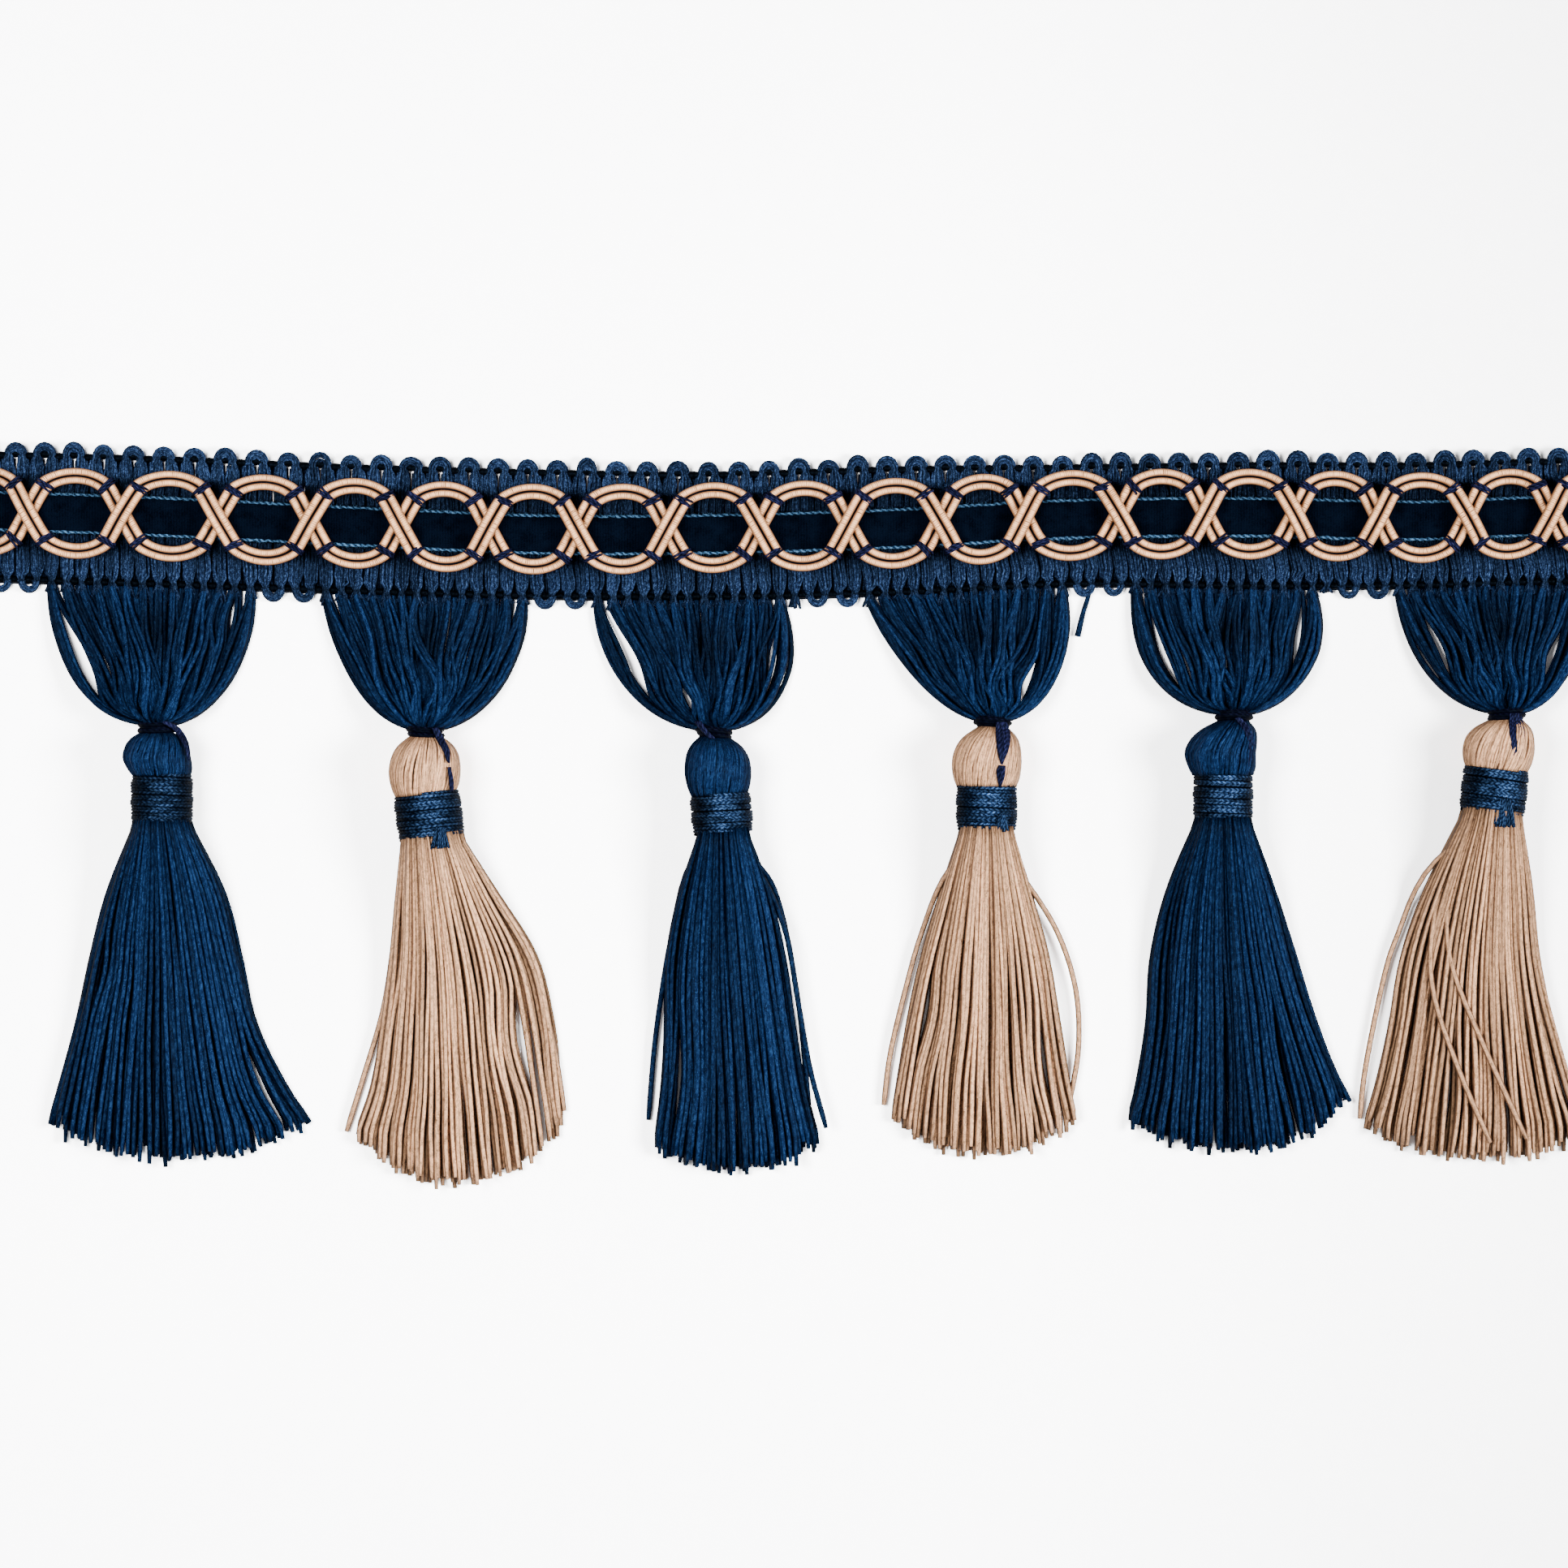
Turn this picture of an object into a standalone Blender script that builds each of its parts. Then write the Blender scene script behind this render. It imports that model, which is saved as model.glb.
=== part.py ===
"""Length of tassel fringe trim lying flat: woven heading, gimp braid, six tassels.

X runs along the heading, +Y points from the skirts to the heading and +Z is up.
The origin is at the bottom centre of the whole trim, on the surface it lies on.
Sizes and places are in millimetres here and become metres in the objects.
"""

import math
from collections import namedtuple

import bmesh
import bpy
from mathutils import Vector

MM = 0.001
GAP = 0.3

# Heading: a weft-faced band whose yarns turn in arches above and in loops below
RING_PITCH = 12.52
ARCHES_PER_RING = 3
ARCH_PITCH = RING_PITCH / ARCHES_PER_RING
ARCH_COUNT = 57
ARCHES_PER_TASSEL = 9
HALF_LENGTH = ARCH_COUNT * ARCH_PITCH / 2
ARCH_RISE = 1.5
ARCH_RISE_SPREAD = 0.2
ARCH_RISE_PHASE = 2.4
ARCH_SHOULDER = 0.75
ARCH_NOTCH = 0.3
LOOP_DROP = 1.6
LOOP_SHOULDER = 0.7
LOWER_EDGE = 0.6
LEG_HEIGHT = 1.2
SLIT_HEIGHT = 0.8

# Velvet ribbon laid along the middle of the heading
RIBBON_WIDTH = 6.4
RIBBON_THICKNESS = 1.0
RIBBON_STEPS = 38
RIBBON_BOTTOM = LEG_HEIGHT + GAP
RIBBON_TOP = RIBBON_BOTTOM + RIBBON_THICKNESS

# Two waves of doubled gimp cord that cross between rings
CORD_RADIUS = 0.55
PAIR_SPACING = 1.42
APEX_RISE = 5.3
KNEE_X = 4.15
KNEE_RISE = 3.86
KNEE_DIRECTION = 50.0
SHOULDER_X = 2.5
SHOULDER_RISE = 4.9
CROSSING_HALF = 1.25
WAVE_REACH = HALF_LENGTH - 0.2
ON_RIBBON = RIBBON_TOP + GAP + CORD_RADIUS
ON_BAND = LEG_HEIGHT + GAP + CORD_RADIUS
BETWEEN = ON_BAND + 0.3 * (ON_RIBBON - ON_BAND)
OVER_CROSSING = ON_RIBBON + 2 * CORD_RADIUS + GAP

# Tassel body: neck, ball head, groove for the wrap, and the face the skirt grows from
NECK_RADIUS = 2.5
GATHER_LENGTH = 1.3
GATHER_SPREAD = 0.85
WRAP_THICKNESS = 0.9
WRAP_ROUNDING = 0.25
FLANGE_LENGTH = 0.5
WIDEST_SHARE = 0.38
SKIRT_COLUMNS = 6
SKIRT_ROWS = 3
HANGER_COLUMNS = 6
HANGER_ROWS = 2
CELL_INSET = 0.1
HANGER_BELLY = 0.47
HANGER_SHOULDER = 0.13
DIRECTION_STEP = 0.05
TIE_RADIUS = 0.6

Line = namedtuple("Line", "x middle upper lower")
Hanger = namedtuple("Hanger", "left right belly_left belly_right round_left round_right")
Head = namedtuple("Head", "x y radius neck_x neck_y cotton")
Wrap = namedtuple("Wrap", "x y z radius length lean")
Fold = namedtuple("Fold", "y left right")
Tips = namedtuple("Tips", "left middle right")
Level = namedtuple("Level", "share z row_step thickness width")
Ring = namedtuple("Ring", "x y z lean radius")
Slide = namedtuple("Slide", "x shift")

# How the heading lies: its middle, and the warp lines under the arches and over the loops
LINES = (
    Line(-119.0, 41.8, 50.3, 32.4),
    Line(-91.0, 41.0, 49.5, 31.5),
    Line(-65.0, 40.0, 48.4, 30.6),
    Line(-40.0, 39.2, 47.7, 29.9),
    Line(-15.0, 39.4, 47.4, 29.8),
    Line(10.0, 40.0, 48.1, 30.4),
    Line(35.0, 41.1, 48.4, 31.6),
    Line(60.0, 41.3, 48.7, 31.3),
    Line(84.0, 40.8, 48.7, 31.4),
    Line(100.0, 41.4, 49.2, 31.9),
    Line(119.0, 41.2, 49.3, 31.9),
)

# How far the weft's even grid has slid along the heading
SLIDES = (
    Slide(-119.0, 0.0),
    Slide(-108.0, -0.3),
    Slide(-83.0, 0.2),
    Slide(-60.0, 0.8),
    Slide(-40.0, 0.8),
    Slide(-8.0, 1.1),
    Slide(20.0, 1.0),
    Slide(38.0, 0.9),
    Slide(60.0, 0.4),
    Slide(80.0, 0.3),
    Slide(100.0, -0.4),
    Slide(119.0, 0.0),
)

# Where the gimp waves cross, from one end of the heading to the other
CROSSINGS = (
    -123.3, -110.8, -97.7, -84.3, -71.4, -58.8, -46.5, -34.1, -21.5, -8.7, 3.8,
    16.6, 28.4, 41.6, 53.7, 66.2, 77.9, 90.3, 102.1, 114.6, 127.1,
)

HANGERS = (
    Hanger(-108.3, -79.7, -0.3, 0.8, 0.69, 0.62),
    Hanger(-69.6, -41.9, -0.7, 0.9, 0.60, 0.60),
    Hanger(-31.9, -4.0, -0.5, 1.0, 0.60, 0.86),
    Hanger(6.3, 34.3, -1.4, 1.5, 0.38, 0.71),
    Hanger(42.6, 70.6, -1.1, 0.9, 0.71, 0.66),
    Hanger(80.5, 108.4, -1.5, -0.6, 0.57, 0.53),
)

HEADS = (
    Head(-92.7, 7.8, 4.7, -92.7, 12.5, "navy"),
    Head(-55.3, 6.0, 5.0, -55.2, 12.0, "tan"),
    Head(-14.4, 5.6, 4.6, -15.0, 10.8, "navy"),
    Head(23.1, 7.0, 4.85, 23.9, 12.0, "tan"),
    Head(55.7, 8.6, 4.95, 57.6, 13.2, "navy"),
    Head(94.5, 8.9, 4.95, 95.6, 13.4, "tan"),
)

WRAPS = (
    Wrap(-92.0, 1.5, 4.5, 4.25, 7.0, 0.0),
    Wrap(-54.7, -0.8, 4.8, 4.60, 6.6, 7.5),
    Wrap(-13.9, -0.5, 4.4, 4.20, 5.8, 5.0),
    Wrap(23.1, 0.3, 4.5, 4.20, 6.5, 0.0),
    Wrap(56.1, 1.7, 4.5, 4.10, 6.8, 0.0),
    Wrap(93.9, 2.6, 4.8, 4.55, 6.5, -6.0),
)

# Outline of each skirt, from under its wrap down to its tips
SKIRTS = (
    (
        Fold(-11.7, -99.9, -83.6),
        Fold(-20.8, -102.4, -81.5),
        Fold(-29.9, -104.5, -79.3),
        Fold(-39.0, -107.0, -74.7),
        Fold(-44.0, -108.4, -71.2),
    ),
    (
        Fold(-11.7, -59.3, -45.3),
        Fold(-20.8, -60.3, -39.6),
        Fold(-29.9, -61.6, -37.3),
        Fold(-39.0, -63.2, -36.3),
        Fold(-45.0, -66.4, -35.7),
    ),
    (
        Fold(-11.7, -21.0, -6.0),
        Fold(-20.8, -23.1, -3.6),
        Fold(-29.9, -23.4, -2.3),
        Fold(-39.0, -23.7, -1.0),
        Fold(-46.0, -24.7, 1.0),
    ),
    (
        Fold(-11.7, 16.1, 30.1),
        Fold(-20.8, 13.2, 33.0),
        Fold(-29.9, 11.0, 34.6),
        Fold(-39.0, 9.2, 36.1),
        Fold(-43.0, 8.6, 37.1),
    ),
    (
        Fold(-11.7, 48.2, 63.6),
        Fold(-20.8, 46.3, 66.2),
        Fold(-29.9, 45.7, 69.3),
        Fold(-39.0, 44.3, 73.2),
        Fold(-43.0, 43.2, 74.4),
    ),
    (
        Fold(-11.7, 83.8, 99.8),
        Fold(-20.8, 80.7, 100.9),
        Fold(-29.9, 79.1, 103.1),
        Fold(-39.0, 77.1, 106.1),
        Fold(-44.0, 75.6, 108.4),
    ),
)

TIPS = (
    Tips(-43.5, -48.8, -43.0),
    Tips(-45.7, -51.9, -42.9),
    Tips(-46.4, -50.1, -45.4),
    Tips(-41.8, -47.9, -42.0),
    Tips(-43.6, -47.4, -40.2),
    Tips(-43.3, -48.7, -44.5),
)
TIP_ROUNDING = 2.5

# Tie cords that run down the tan heads into the wraps: tassel number and route in x, y
TIES = {
    2: ((-53.9, 10.3), (-52.9, 8.2), (-52.2, 6.0), (-52.0, 3.4)),
    4: ((24.9, 10.6), (25.2, 8.6), (25.3, 6.4), (25.1, 4.2)),
    6: ((96.4, 11.8), (96.9, 9.8), (97.0, 7.6), (96.9, 6.5)),
}

# Locks from their roots to their ends: share of the way, height of the lowest row's
# middle, step between rows, thickness and width
SKIRT_LEVELS = (
    Level(0.10, 2.1, 2.1, 1.70, 1.30),
    Level(0.38, 0.75, 1.65, 1.35, 1.55),
    Level(0.70, 0.45, 1.15, 0.90, 1.75),
    Level(1.00, 0.40, 0.95, 0.80, 1.80),
)
HANGER_LEVELS = (
    Level(0.22, 3.0, 1.5, 1.20, 0.80),
    Level(0.46, 1.8, 0.7, 0.85, 1.25),
    Level(0.72, 0.75, 0.2, 0.95, 1.60),
    Level(1.00, 0.60, 0.0, 1.00, 1.70),
)

# Ball head above the wrap: share of the way to the neck, and share of the full radius
HEAD_PROFILE = ((0.0, 0.87), (0.15, 0.95), (WIDEST_SHARE, 1.0), (0.62, 0.93), (0.84, 0.68))

COLOURS = {
    "navy": (0.012, 0.035, 0.10),
    "tan": (0.50, 0.36, 0.25),
    "gimp": (0.66, 0.46, 0.30),
    "velvet": (0.002, 0.004, 0.012),
    "satin": (0.008, 0.022, 0.07),
    "indigo": (0.010, 0.012, 0.035),
}
ROUGHNESS = {"satin": 0.35, "velvet": 0.95}
COTTON_ROUGHNESS = 0.85


def clear_scene():
    """Remove whatever the opening scene holds."""
    for item in list(bpy.data.objects):
        bpy.data.objects.remove(item, do_unlink=True)


def make_material(name):
    """A plain coloured material for one piece of the trim."""
    material = bpy.data.materials.new(name)
    material.use_nodes = True
    shader = material.node_tree.nodes["Principled BSDF"]
    shader.inputs["Base Color"].default_value = (*COLOURS[name], 1.0)
    shader.inputs["Roughness"].default_value = ROUGHNESS.get(name, COTTON_ROUGHNESS)
    return material


def add_object(collection, name, data, material):
    """Put a mesh or curve in the trim's collection with its own material."""
    piece = bpy.data.objects.new(name, data)
    data.materials.append(material.copy())
    collection.objects.link(piece)
    return piece


def add_mesh(collection, name, bm, material, sharp_degrees=40.0):
    """Close a bmesh into an object, its size turned from millimetres to metres."""
    bmesh.ops.scale(bm, vec=Vector((MM, MM, MM)), verts=bm.verts)
    bmesh.ops.recalc_face_normals(bm, faces=bm.faces)
    mesh = bpy.data.meshes.new(name)
    bm.to_mesh(mesh)
    bm.free()
    mesh.shade_smooth()
    mesh.set_sharp_from_angle(angle=math.radians(sharp_degrees))
    return add_object(collection, name, mesh, material)


def mix(low, high, share):
    """The value a share of the way from low to high."""
    return low + (high - low) * share


def smooth_read(rows, key, value, place):
    """Read a table's column at a place, on a smooth curve through its rows."""
    rows = sorted(rows, key=lambda row: getattr(row, key))
    keys = [getattr(row, key) for row in rows]
    values = [getattr(row, value) for row in rows]
    place = min(max(place, keys[0]), keys[-1])
    last = len(rows) - 1
    index = max(i for i in range(last) if keys[i] <= place)
    span = keys[index + 1] - keys[index]
    share = (place - keys[index]) / span

    def slope(i):
        before, after = max(i - 1, 0), min(i + 1, last)
        return (values[after] - values[before]) / (keys[after] - keys[before]) * span

    a, b = values[index], values[index + 1]
    ease = share * share * (3 - 2 * share)
    rise = slope(index) * share * (1 - share) ** 2
    fall = slope(index + 1) * share ** 2 * (1 - share)
    return mix(a, b, ease) + rise - fall


def line_at(column, x):
    """Height across the table of one of the heading's lines."""
    return smooth_read(LINES, "x", column, x)


def bezier(ends, share):
    """Point on a cubic curve with the four given points."""
    keep = 1 - share
    weights = (keep ** 3, 3 * keep * keep * share, 3 * keep * share * share, share ** 3)
    total = Vector((0.0, 0.0))
    for weight, point in zip(weights, ends):
        total += weight * point
    return total


def is_loop_valley(index):
    """Whether the legs that meet at this valley turn back in a loop below."""
    return index % ARCHES_PER_TASSEL in (1, 2)


def heading_columns():
    """x, top edge, bottom edge and height of each upright line across the band."""
    columns = []
    for index in range(ARCH_COUNT + 1):
        valley = -HALF_LENGTH + index * ARCH_PITCH
        rise = ARCH_RISE + ARCH_RISE_SPREAD * math.sin(ARCH_RISE_PHASE * index)
        loop = LOOP_DROP if is_loop_valley(index) else LOWER_EDGE
        next_loop = LOOP_DROP if is_loop_valley(index + 1) else LOWER_EDGE
        columns.append((valley, ARCH_NOTCH, loop, SLIT_HEIGHT))
        if index == ARCH_COUNT:
            break
        near = valley + ARCH_PITCH / 4
        far = valley + ARCH_PITCH * 3 / 4
        columns.append((near, rise * ARCH_SHOULDER, mix(LOWER_EDGE, loop, LOOP_SHOULDER), LEG_HEIGHT))
        columns.append((valley + ARCH_PITCH / 2, rise, LOWER_EDGE, SLIT_HEIGHT))
        columns.append((far, rise * ARCH_SHOULDER, mix(LOWER_EDGE, next_loop, LOOP_SHOULDER), LEG_HEIGHT))
    return [(x + smooth_read(SLIDES, "x", "shift", x), *levels) for x, *levels in columns]


def add_heading(collection, material):
    """The woven band, one sheet with its legs raised and its edges scalloped."""
    bm = bmesh.new()
    columns = heading_columns()
    across = []
    for x, rise, drop, height in columns:
        upper = line_at("upper", x)
        lower = line_at("lower", x)
        levels = (
            (upper + rise, 0.0),
            (upper + rise, SLIT_HEIGHT),
            (upper, height),
            (lower, height),
            (lower - drop, SLIT_HEIGHT),
            (lower - drop, 0.0),
        )
        across.append([bm.verts.new((x, y, z)) for y, z in levels])
    for left, right in zip(across, across[1:]):
        for i in range(len(left) - 1):
            bm.faces.new((left[i], left[i + 1], right[i + 1], right[i]))
    underside = [row[0] for row in across] + [row[-1] for row in reversed(across)]
    bm.faces.new(underside)
    bm.faces.new(across[0])
    bm.faces.new(list(reversed(across[-1])))
    return add_mesh(collection, "heading_braid", bm, material, sharp_degrees=80.0)


def add_ribbon(collection, material):
    """The velvet ribbon along the middle, with the heading's own curve."""
    bm = bmesh.new()
    bmesh.ops.create_grid(bm, x_segments=RIBBON_STEPS, y_segments=1, size=1.0)
    for vert in bm.verts:
        x = vert.co.x * HALF_LENGTH
        y = line_at("middle", x) + vert.co.y * RIBBON_WIDTH / 2
        vert.co = Vector((x, y, RIBBON_BOTTOM)) * MM
    mesh = bpy.data.meshes.new("velvet_ribbon")
    bm.to_mesh(mesh)
    bm.free()
    ribbon = add_object(collection, "velvet_ribbon", mesh, material)
    thickness = ribbon.modifiers.new("thickness", "SOLIDIFY")
    thickness.thickness = RIBBON_THICKNESS * MM
    thickness.offset = 1.0
    return ribbon


def wave_steps(over, width):
    """Points of a wave across a ring of this width: x, rise, direction, height."""
    stretch = width / RING_PITCH
    arc_direction = math.degrees(math.atan2(APEX_RISE - KNEE_RISE, KNEE_X))
    half = [
        (0.0, APEX_RISE, 0.0, ON_BAND),
        (SHOULDER_X, SHOULDER_RISE, -arc_direction, BETWEEN),
        (KNEE_X, KNEE_RISE, -KNEE_DIRECTION, ON_RIBBON),
    ]
    if over:
        run = RING_PITCH / 2 - KNEE_X
        slope = math.degrees(math.atan2(KNEE_RISE, run))
        rise = KNEE_RISE * CROSSING_HALF / run
        half.append((RING_PITCH / 2 - CROSSING_HALF, rise, -slope, OVER_CROSSING))
    mirrored = [(-x, rise, -direction, z) for x, rise, direction, z in half[1:]]
    return [(x * stretch, rise, direction, z) for x, rise, direction, z in mirrored[::-1] + half]


def cut_route(points, reach):
    """The points within reach of the middle, with an end point on each cut."""
    kept = [point for point in points if abs(point[0]) < reach]
    first = points.index(kept[0])
    last = points.index(kept[-1])
    ends = []
    for inner, outer, x in ((first, first - 1, -reach), (last, last + 1, reach)):
        a, b = points[inner], points[outer]
        share = (x - a[0]) / (b[0] - a[0])
        ends.append(tuple(mix(low, high, share) for low, high in zip(a, b)))
    return [ends[0], *kept, ends[1]]


def wave_route(first_side, over, offset):
    """One cord of a doubled wave, as points along the whole heading."""
    points = []
    for ring, (left, right) in enumerate(zip(CROSSINGS, CROSSINGS[1:])):
        side = first_side if ring % 2 else -first_side
        centre = (left + right) / 2
        for x, rise, direction, z in wave_steps(over, right - left):
            angle = math.radians(direction * side)
            along = centre + x - math.sin(angle) * offset
            across = side * rise + math.cos(angle) * offset
            points.append((along, line_at("middle", along) + across, z))
    return cut_route(points, WAVE_REACH)


def add_cord(collection, name, points, radius, material, sides=4):
    """A cord as a tube with closed ends along the given points."""
    data = bpy.data.curves.new(name, "CURVE")
    data.dimensions = "3D"
    data.bevel_depth = radius * MM
    data.bevel_resolution = sides // 2 - 2
    data.use_fill_caps = True
    spline = data.splines.new("POLY")
    spline.points.add(len(points) - 1)
    for target, point in zip(spline.points, points):
        target.co = (*(value * MM for value in point), 1.0)
    return add_object(collection, name, data, material)


def add_gimp(collection, material):
    """Four gimp cords: an under wave and an over wave, each doubled."""
    for wave, first_side, over in (("under", 1, False), ("over", -1, True)):
        for number, offset in ((1, PAIR_SPACING / 2), (2, -PAIR_SPACING / 2)):
            points = wave_route(first_side, over, offset)
            add_cord(collection, f"gimp_{wave}_{number}", points, CORD_RADIUS, material)


def fringed_block(columns, rows, steps, rings):
    """A grid face whose cells grow locks and whose rim grows a closed backing.

    Returns the bmesh, the rim's rings and the locks. Each vertex comes with its
    place on the grid, from -1 to 1 both ways, or its corner of the lock.
    """
    bm = bmesh.new()
    bmesh.ops.create_grid(bm, x_segments=columns, y_segments=rows, size=1.0)
    cells = list(bm.faces)
    rim = [edge for edge in bm.edges if edge.is_boundary]
    surface = [(vert, vert.co.x, vert.co.y) for vert in bm.verts]
    rim_rings = [[item for item in surface if item[0].is_boundary]]
    for _ in range(rings):
        grown = bmesh.ops.extrude_edge_only(bm, edges=rim)["geom"]
        rim = [item for item in grown if isinstance(item, bmesh.types.BMEdge)]
        verts = [item for item in grown if isinstance(item, bmesh.types.BMVert)]
        rim = [edge for edge in rim if edge.verts[0] in verts and edge.verts[1] in verts]
        rim_rings.append([(vert, vert.co.x, vert.co.y) for vert in verts])
    bmesh.ops.holes_fill(bm, edges=rim, sides=0)
    known = set(bm.verts)
    bmesh.ops.inset_individual(bm, faces=cells, thickness=CELL_INSET / max(columns, rows))
    surface += [(vert, vert.co.x, vert.co.y) for vert in bm.verts if vert not in known]
    locks = []
    for cell in cells:
        middle = cell.calc_center_median()
        face = cell
        sections = []
        for _ in range(steps):
            grown = bmesh.ops.extrude_discrete_faces(bm, faces=[face])
            face = grown["faces"][0]
            sections.append([
                (vert, math.copysign(1, vert.co.x - middle.x), math.copysign(1, vert.co.y - middle.y))
                for vert in face.verts
            ])
        locks.append((middle.x, middle.y, sections))
    return bm, surface, rim_rings, locks


def on_disc(u, v):
    """Place on a round disc of a place on the square grid."""
    return u * math.sqrt(1 - v * v / 2), v * math.sqrt(1 - u * u / 2)


def place_in_ring(vert, u, v, ring, facing):
    """Move a vertex to its place in a ring; facing is 1 towards the skirt, -1 away."""
    side, lift = on_disc(u, v)
    lean = math.radians(ring.lean)
    side *= ring.radius * facing
    x = ring.x + side * math.cos(lean)
    y = ring.y + side * math.sin(lean)
    vert.co = Vector((x, y, ring.z + lift * ring.radius))


def place_section(section, centre, direction, width, thickness, facing):
    """Move a lock's four corners to a section square to its direction across the table."""
    across = Vector((-direction.y, direction.x)).normalized() * facing * width / 2
    for vert, side, lift in section:
        x = centre.x + side * across.x
        y = centre.y + side * across.y
        vert.co = Vector((x, y, centre.z + lift * thickness / 2))


def wrap_end(wrap, share, radius):
    """Ring on a wrap's own axis, share -1 at its skirt end and 1 at its head end."""
    lean = math.radians(wrap.lean)
    reach = share * wrap.length / 2
    x = wrap.x - math.sin(lean) * reach
    y = wrap.y + math.cos(lean) * reach
    return Ring(x, y, wrap.z, wrap.lean, radius)


def head_rings(head, wrap):
    """Rings of the ball head, from its seat on the wrap up to the neck."""
    seat = wrap_end(wrap, 1 + 2 * GAP / wrap.length, 0.0)
    rings = []
    for share, size in HEAD_PROFILE:
        if share < WIDEST_SHARE:
            x = mix(seat.x, head.x, share / WIDEST_SHARE)
            z = mix(seat.z, head.radius, share / WIDEST_SHARE)
        else:
            x = mix(head.x, head.neck_x, (share - WIDEST_SHARE) / (1 - WIDEST_SHARE))
            z = head.radius
        y = mix(seat.y, head.neck_y, share)
        rings.append(Ring(x, y, z, wrap.lean * (1 - share), head.radius * size))
    rings.append(Ring(head.neck_x, head.neck_y, head.radius, 0.0, NECK_RADIUS))
    return rings


def tassel_rings(head, wrap):
    """Rings of a tassel's body, from the skirt's root face up to the neck."""
    groove = wrap.radius - WRAP_THICKNESS - GAP
    clear = 2 * GAP / wrap.length
    flange = 2 * FLANGE_LENGTH / wrap.length
    body = [
        wrap_end(wrap, -1 - clear - flange, wrap.radius),
        wrap_end(wrap, -1 - clear, wrap.radius),
        wrap_end(wrap, -1 - clear, groove),
        wrap_end(wrap, 1 + clear, groove),
    ]
    return body + head_rings(head, wrap)


def skirt_x(folds, wrap, y, u):
    """x of a strand at height y, u from -1 at the skirt's left edge to 1 at its right."""
    top = Fold(wrap.y - wrap.length / 2, wrap.x - wrap.radius, wrap.x + wrap.radius)
    rows = (top, *folds)
    left = smooth_read(rows, "y", "left", y)
    right = smooth_read(rows, "y", "right", y)
    return mix(left, right, (u + 1) / 2)


def skirt_tip(tips, u):
    """Height across the table at which a strand ends."""
    side = tips.left if u < 0 else tips.right
    return mix(tips.middle, side, abs(u) ** TIP_ROUNDING)


def add_tassel(collection, number, material):
    """Neck, ball head and bound core in one, with the skirt's locks grown from it."""
    head, wrap = HEADS[number - 1], WRAPS[number - 1]
    folds, tips = SKIRTS[number - 1], TIPS[number - 1]
    rings = tassel_rings(head, wrap)
    block = fringed_block(SKIRT_COLUMNS, SKIRT_ROWS, len(SKIRT_LEVELS), len(rings) - 1)
    bm, surface, rim_rings, locks = block
    for vert, u, v in surface:
        place_in_ring(vert, u, v, rings[0], 1)
    for ring, items in zip(rings[1:], rim_rings[1:]):
        for vert, u, v in items:
            place_in_ring(vert, u, v, ring, 1)
    for u, v, sections in locks:
        row = round((v + 1) * SKIRT_ROWS / 2 - 0.5)
        column = round((u + 1) * SKIRT_COLUMNS / 2 - 0.5)
        spread = 2 * (column + (row + 0.5) / SKIRT_ROWS) / SKIRT_COLUMNS - 1
        end = skirt_tip(tips, spread)
        for level, section in zip(SKIRT_LEVELS, sections):
            y = mix(rings[0].y, end, level.share)
            x = skirt_x(folds, wrap, y, spread)
            ahead = skirt_x(folds, wrap, y - 1, spread)
            centre = Vector((x, y, level.z + row * level.row_step))
            direction = Vector((ahead - x, -1.0))
            place_section(section, centre, direction, level.width, level.thickness, 1)
    add_mesh(collection, f"tassel_{number}", bm, material)


def gather_top(head):
    """Height across the table where a hanger's locks leave their gather."""
    return head.neck_y + GAP + GATHER_LENGTH


def hanger_route(hanger, head, u):
    """Curve of one lock from the neck up to the heading, u from -1 left to 1 right."""
    x = mix(hanger.left, hanger.right, (u + 1) / 2)
    top = Vector((x, line_at("lower", x) - LOWER_EDGE - GAP))
    neck = Vector((head.neck_x + u * NECK_RADIUS * GATHER_SPREAD, gather_top(head)))
    roundness = hanger.round_left if u < 0 else hanger.round_right
    belly = -hanger.belly_left if u < 0 else hanger.belly_right
    below = Vector((top.x + belly * abs(u), mix(top.y, neck.y, HANGER_BELLY)))
    above = Vector((mix(neck.x, top.x, roundness), mix(neck.y, top.y, HANGER_SHOULDER)))
    return neck, above, below, top


def add_hanger(collection, number, material):
    """The gathered yarns between heading and head, fused where they meet the neck."""
    hanger, head = HANGERS[number - 1], HEADS[number - 1]
    bm, surface, rim_rings, locks = fringed_block(HANGER_COLUMNS, HANGER_ROWS, len(HANGER_LEVELS), 1)
    rings = [
        Ring(head.neck_x, gather_top(head), head.radius, 0.0, NECK_RADIUS),
        Ring(head.neck_x, head.neck_y + GAP, head.radius, 0.0, NECK_RADIUS),
    ]
    for vert, u, v in surface:
        place_in_ring(vert, u, v, rings[0], -1)
    for vert, u, v in rim_rings[1]:
        place_in_ring(vert, u, v, rings[1], -1)
    for u, v, sections in locks:
        row = round((v + 1) * HANGER_ROWS / 2 - 0.5)
        column = round((1 - u) * HANGER_COLUMNS / 2 - 0.5)
        spread = 2 * (column + (row + 0.5) / HANGER_ROWS) / HANGER_COLUMNS - 1
        route = hanger_route(hanger, head, spread)
        for level, section in zip(HANGER_LEVELS, sections):
            point = bezier(route, level.share)
            direction = point - bezier(route, level.share - DIRECTION_STEP)
            if level.share == 1.0:
                direction = Vector((0.0, 1.0))
            centre = Vector((point.x, point.y, level.z + row * level.row_step))
            place_section(section, centre, direction, level.width, level.thickness, 1)
    add_mesh(collection, f"hanger_{number}", bm, material)


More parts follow.
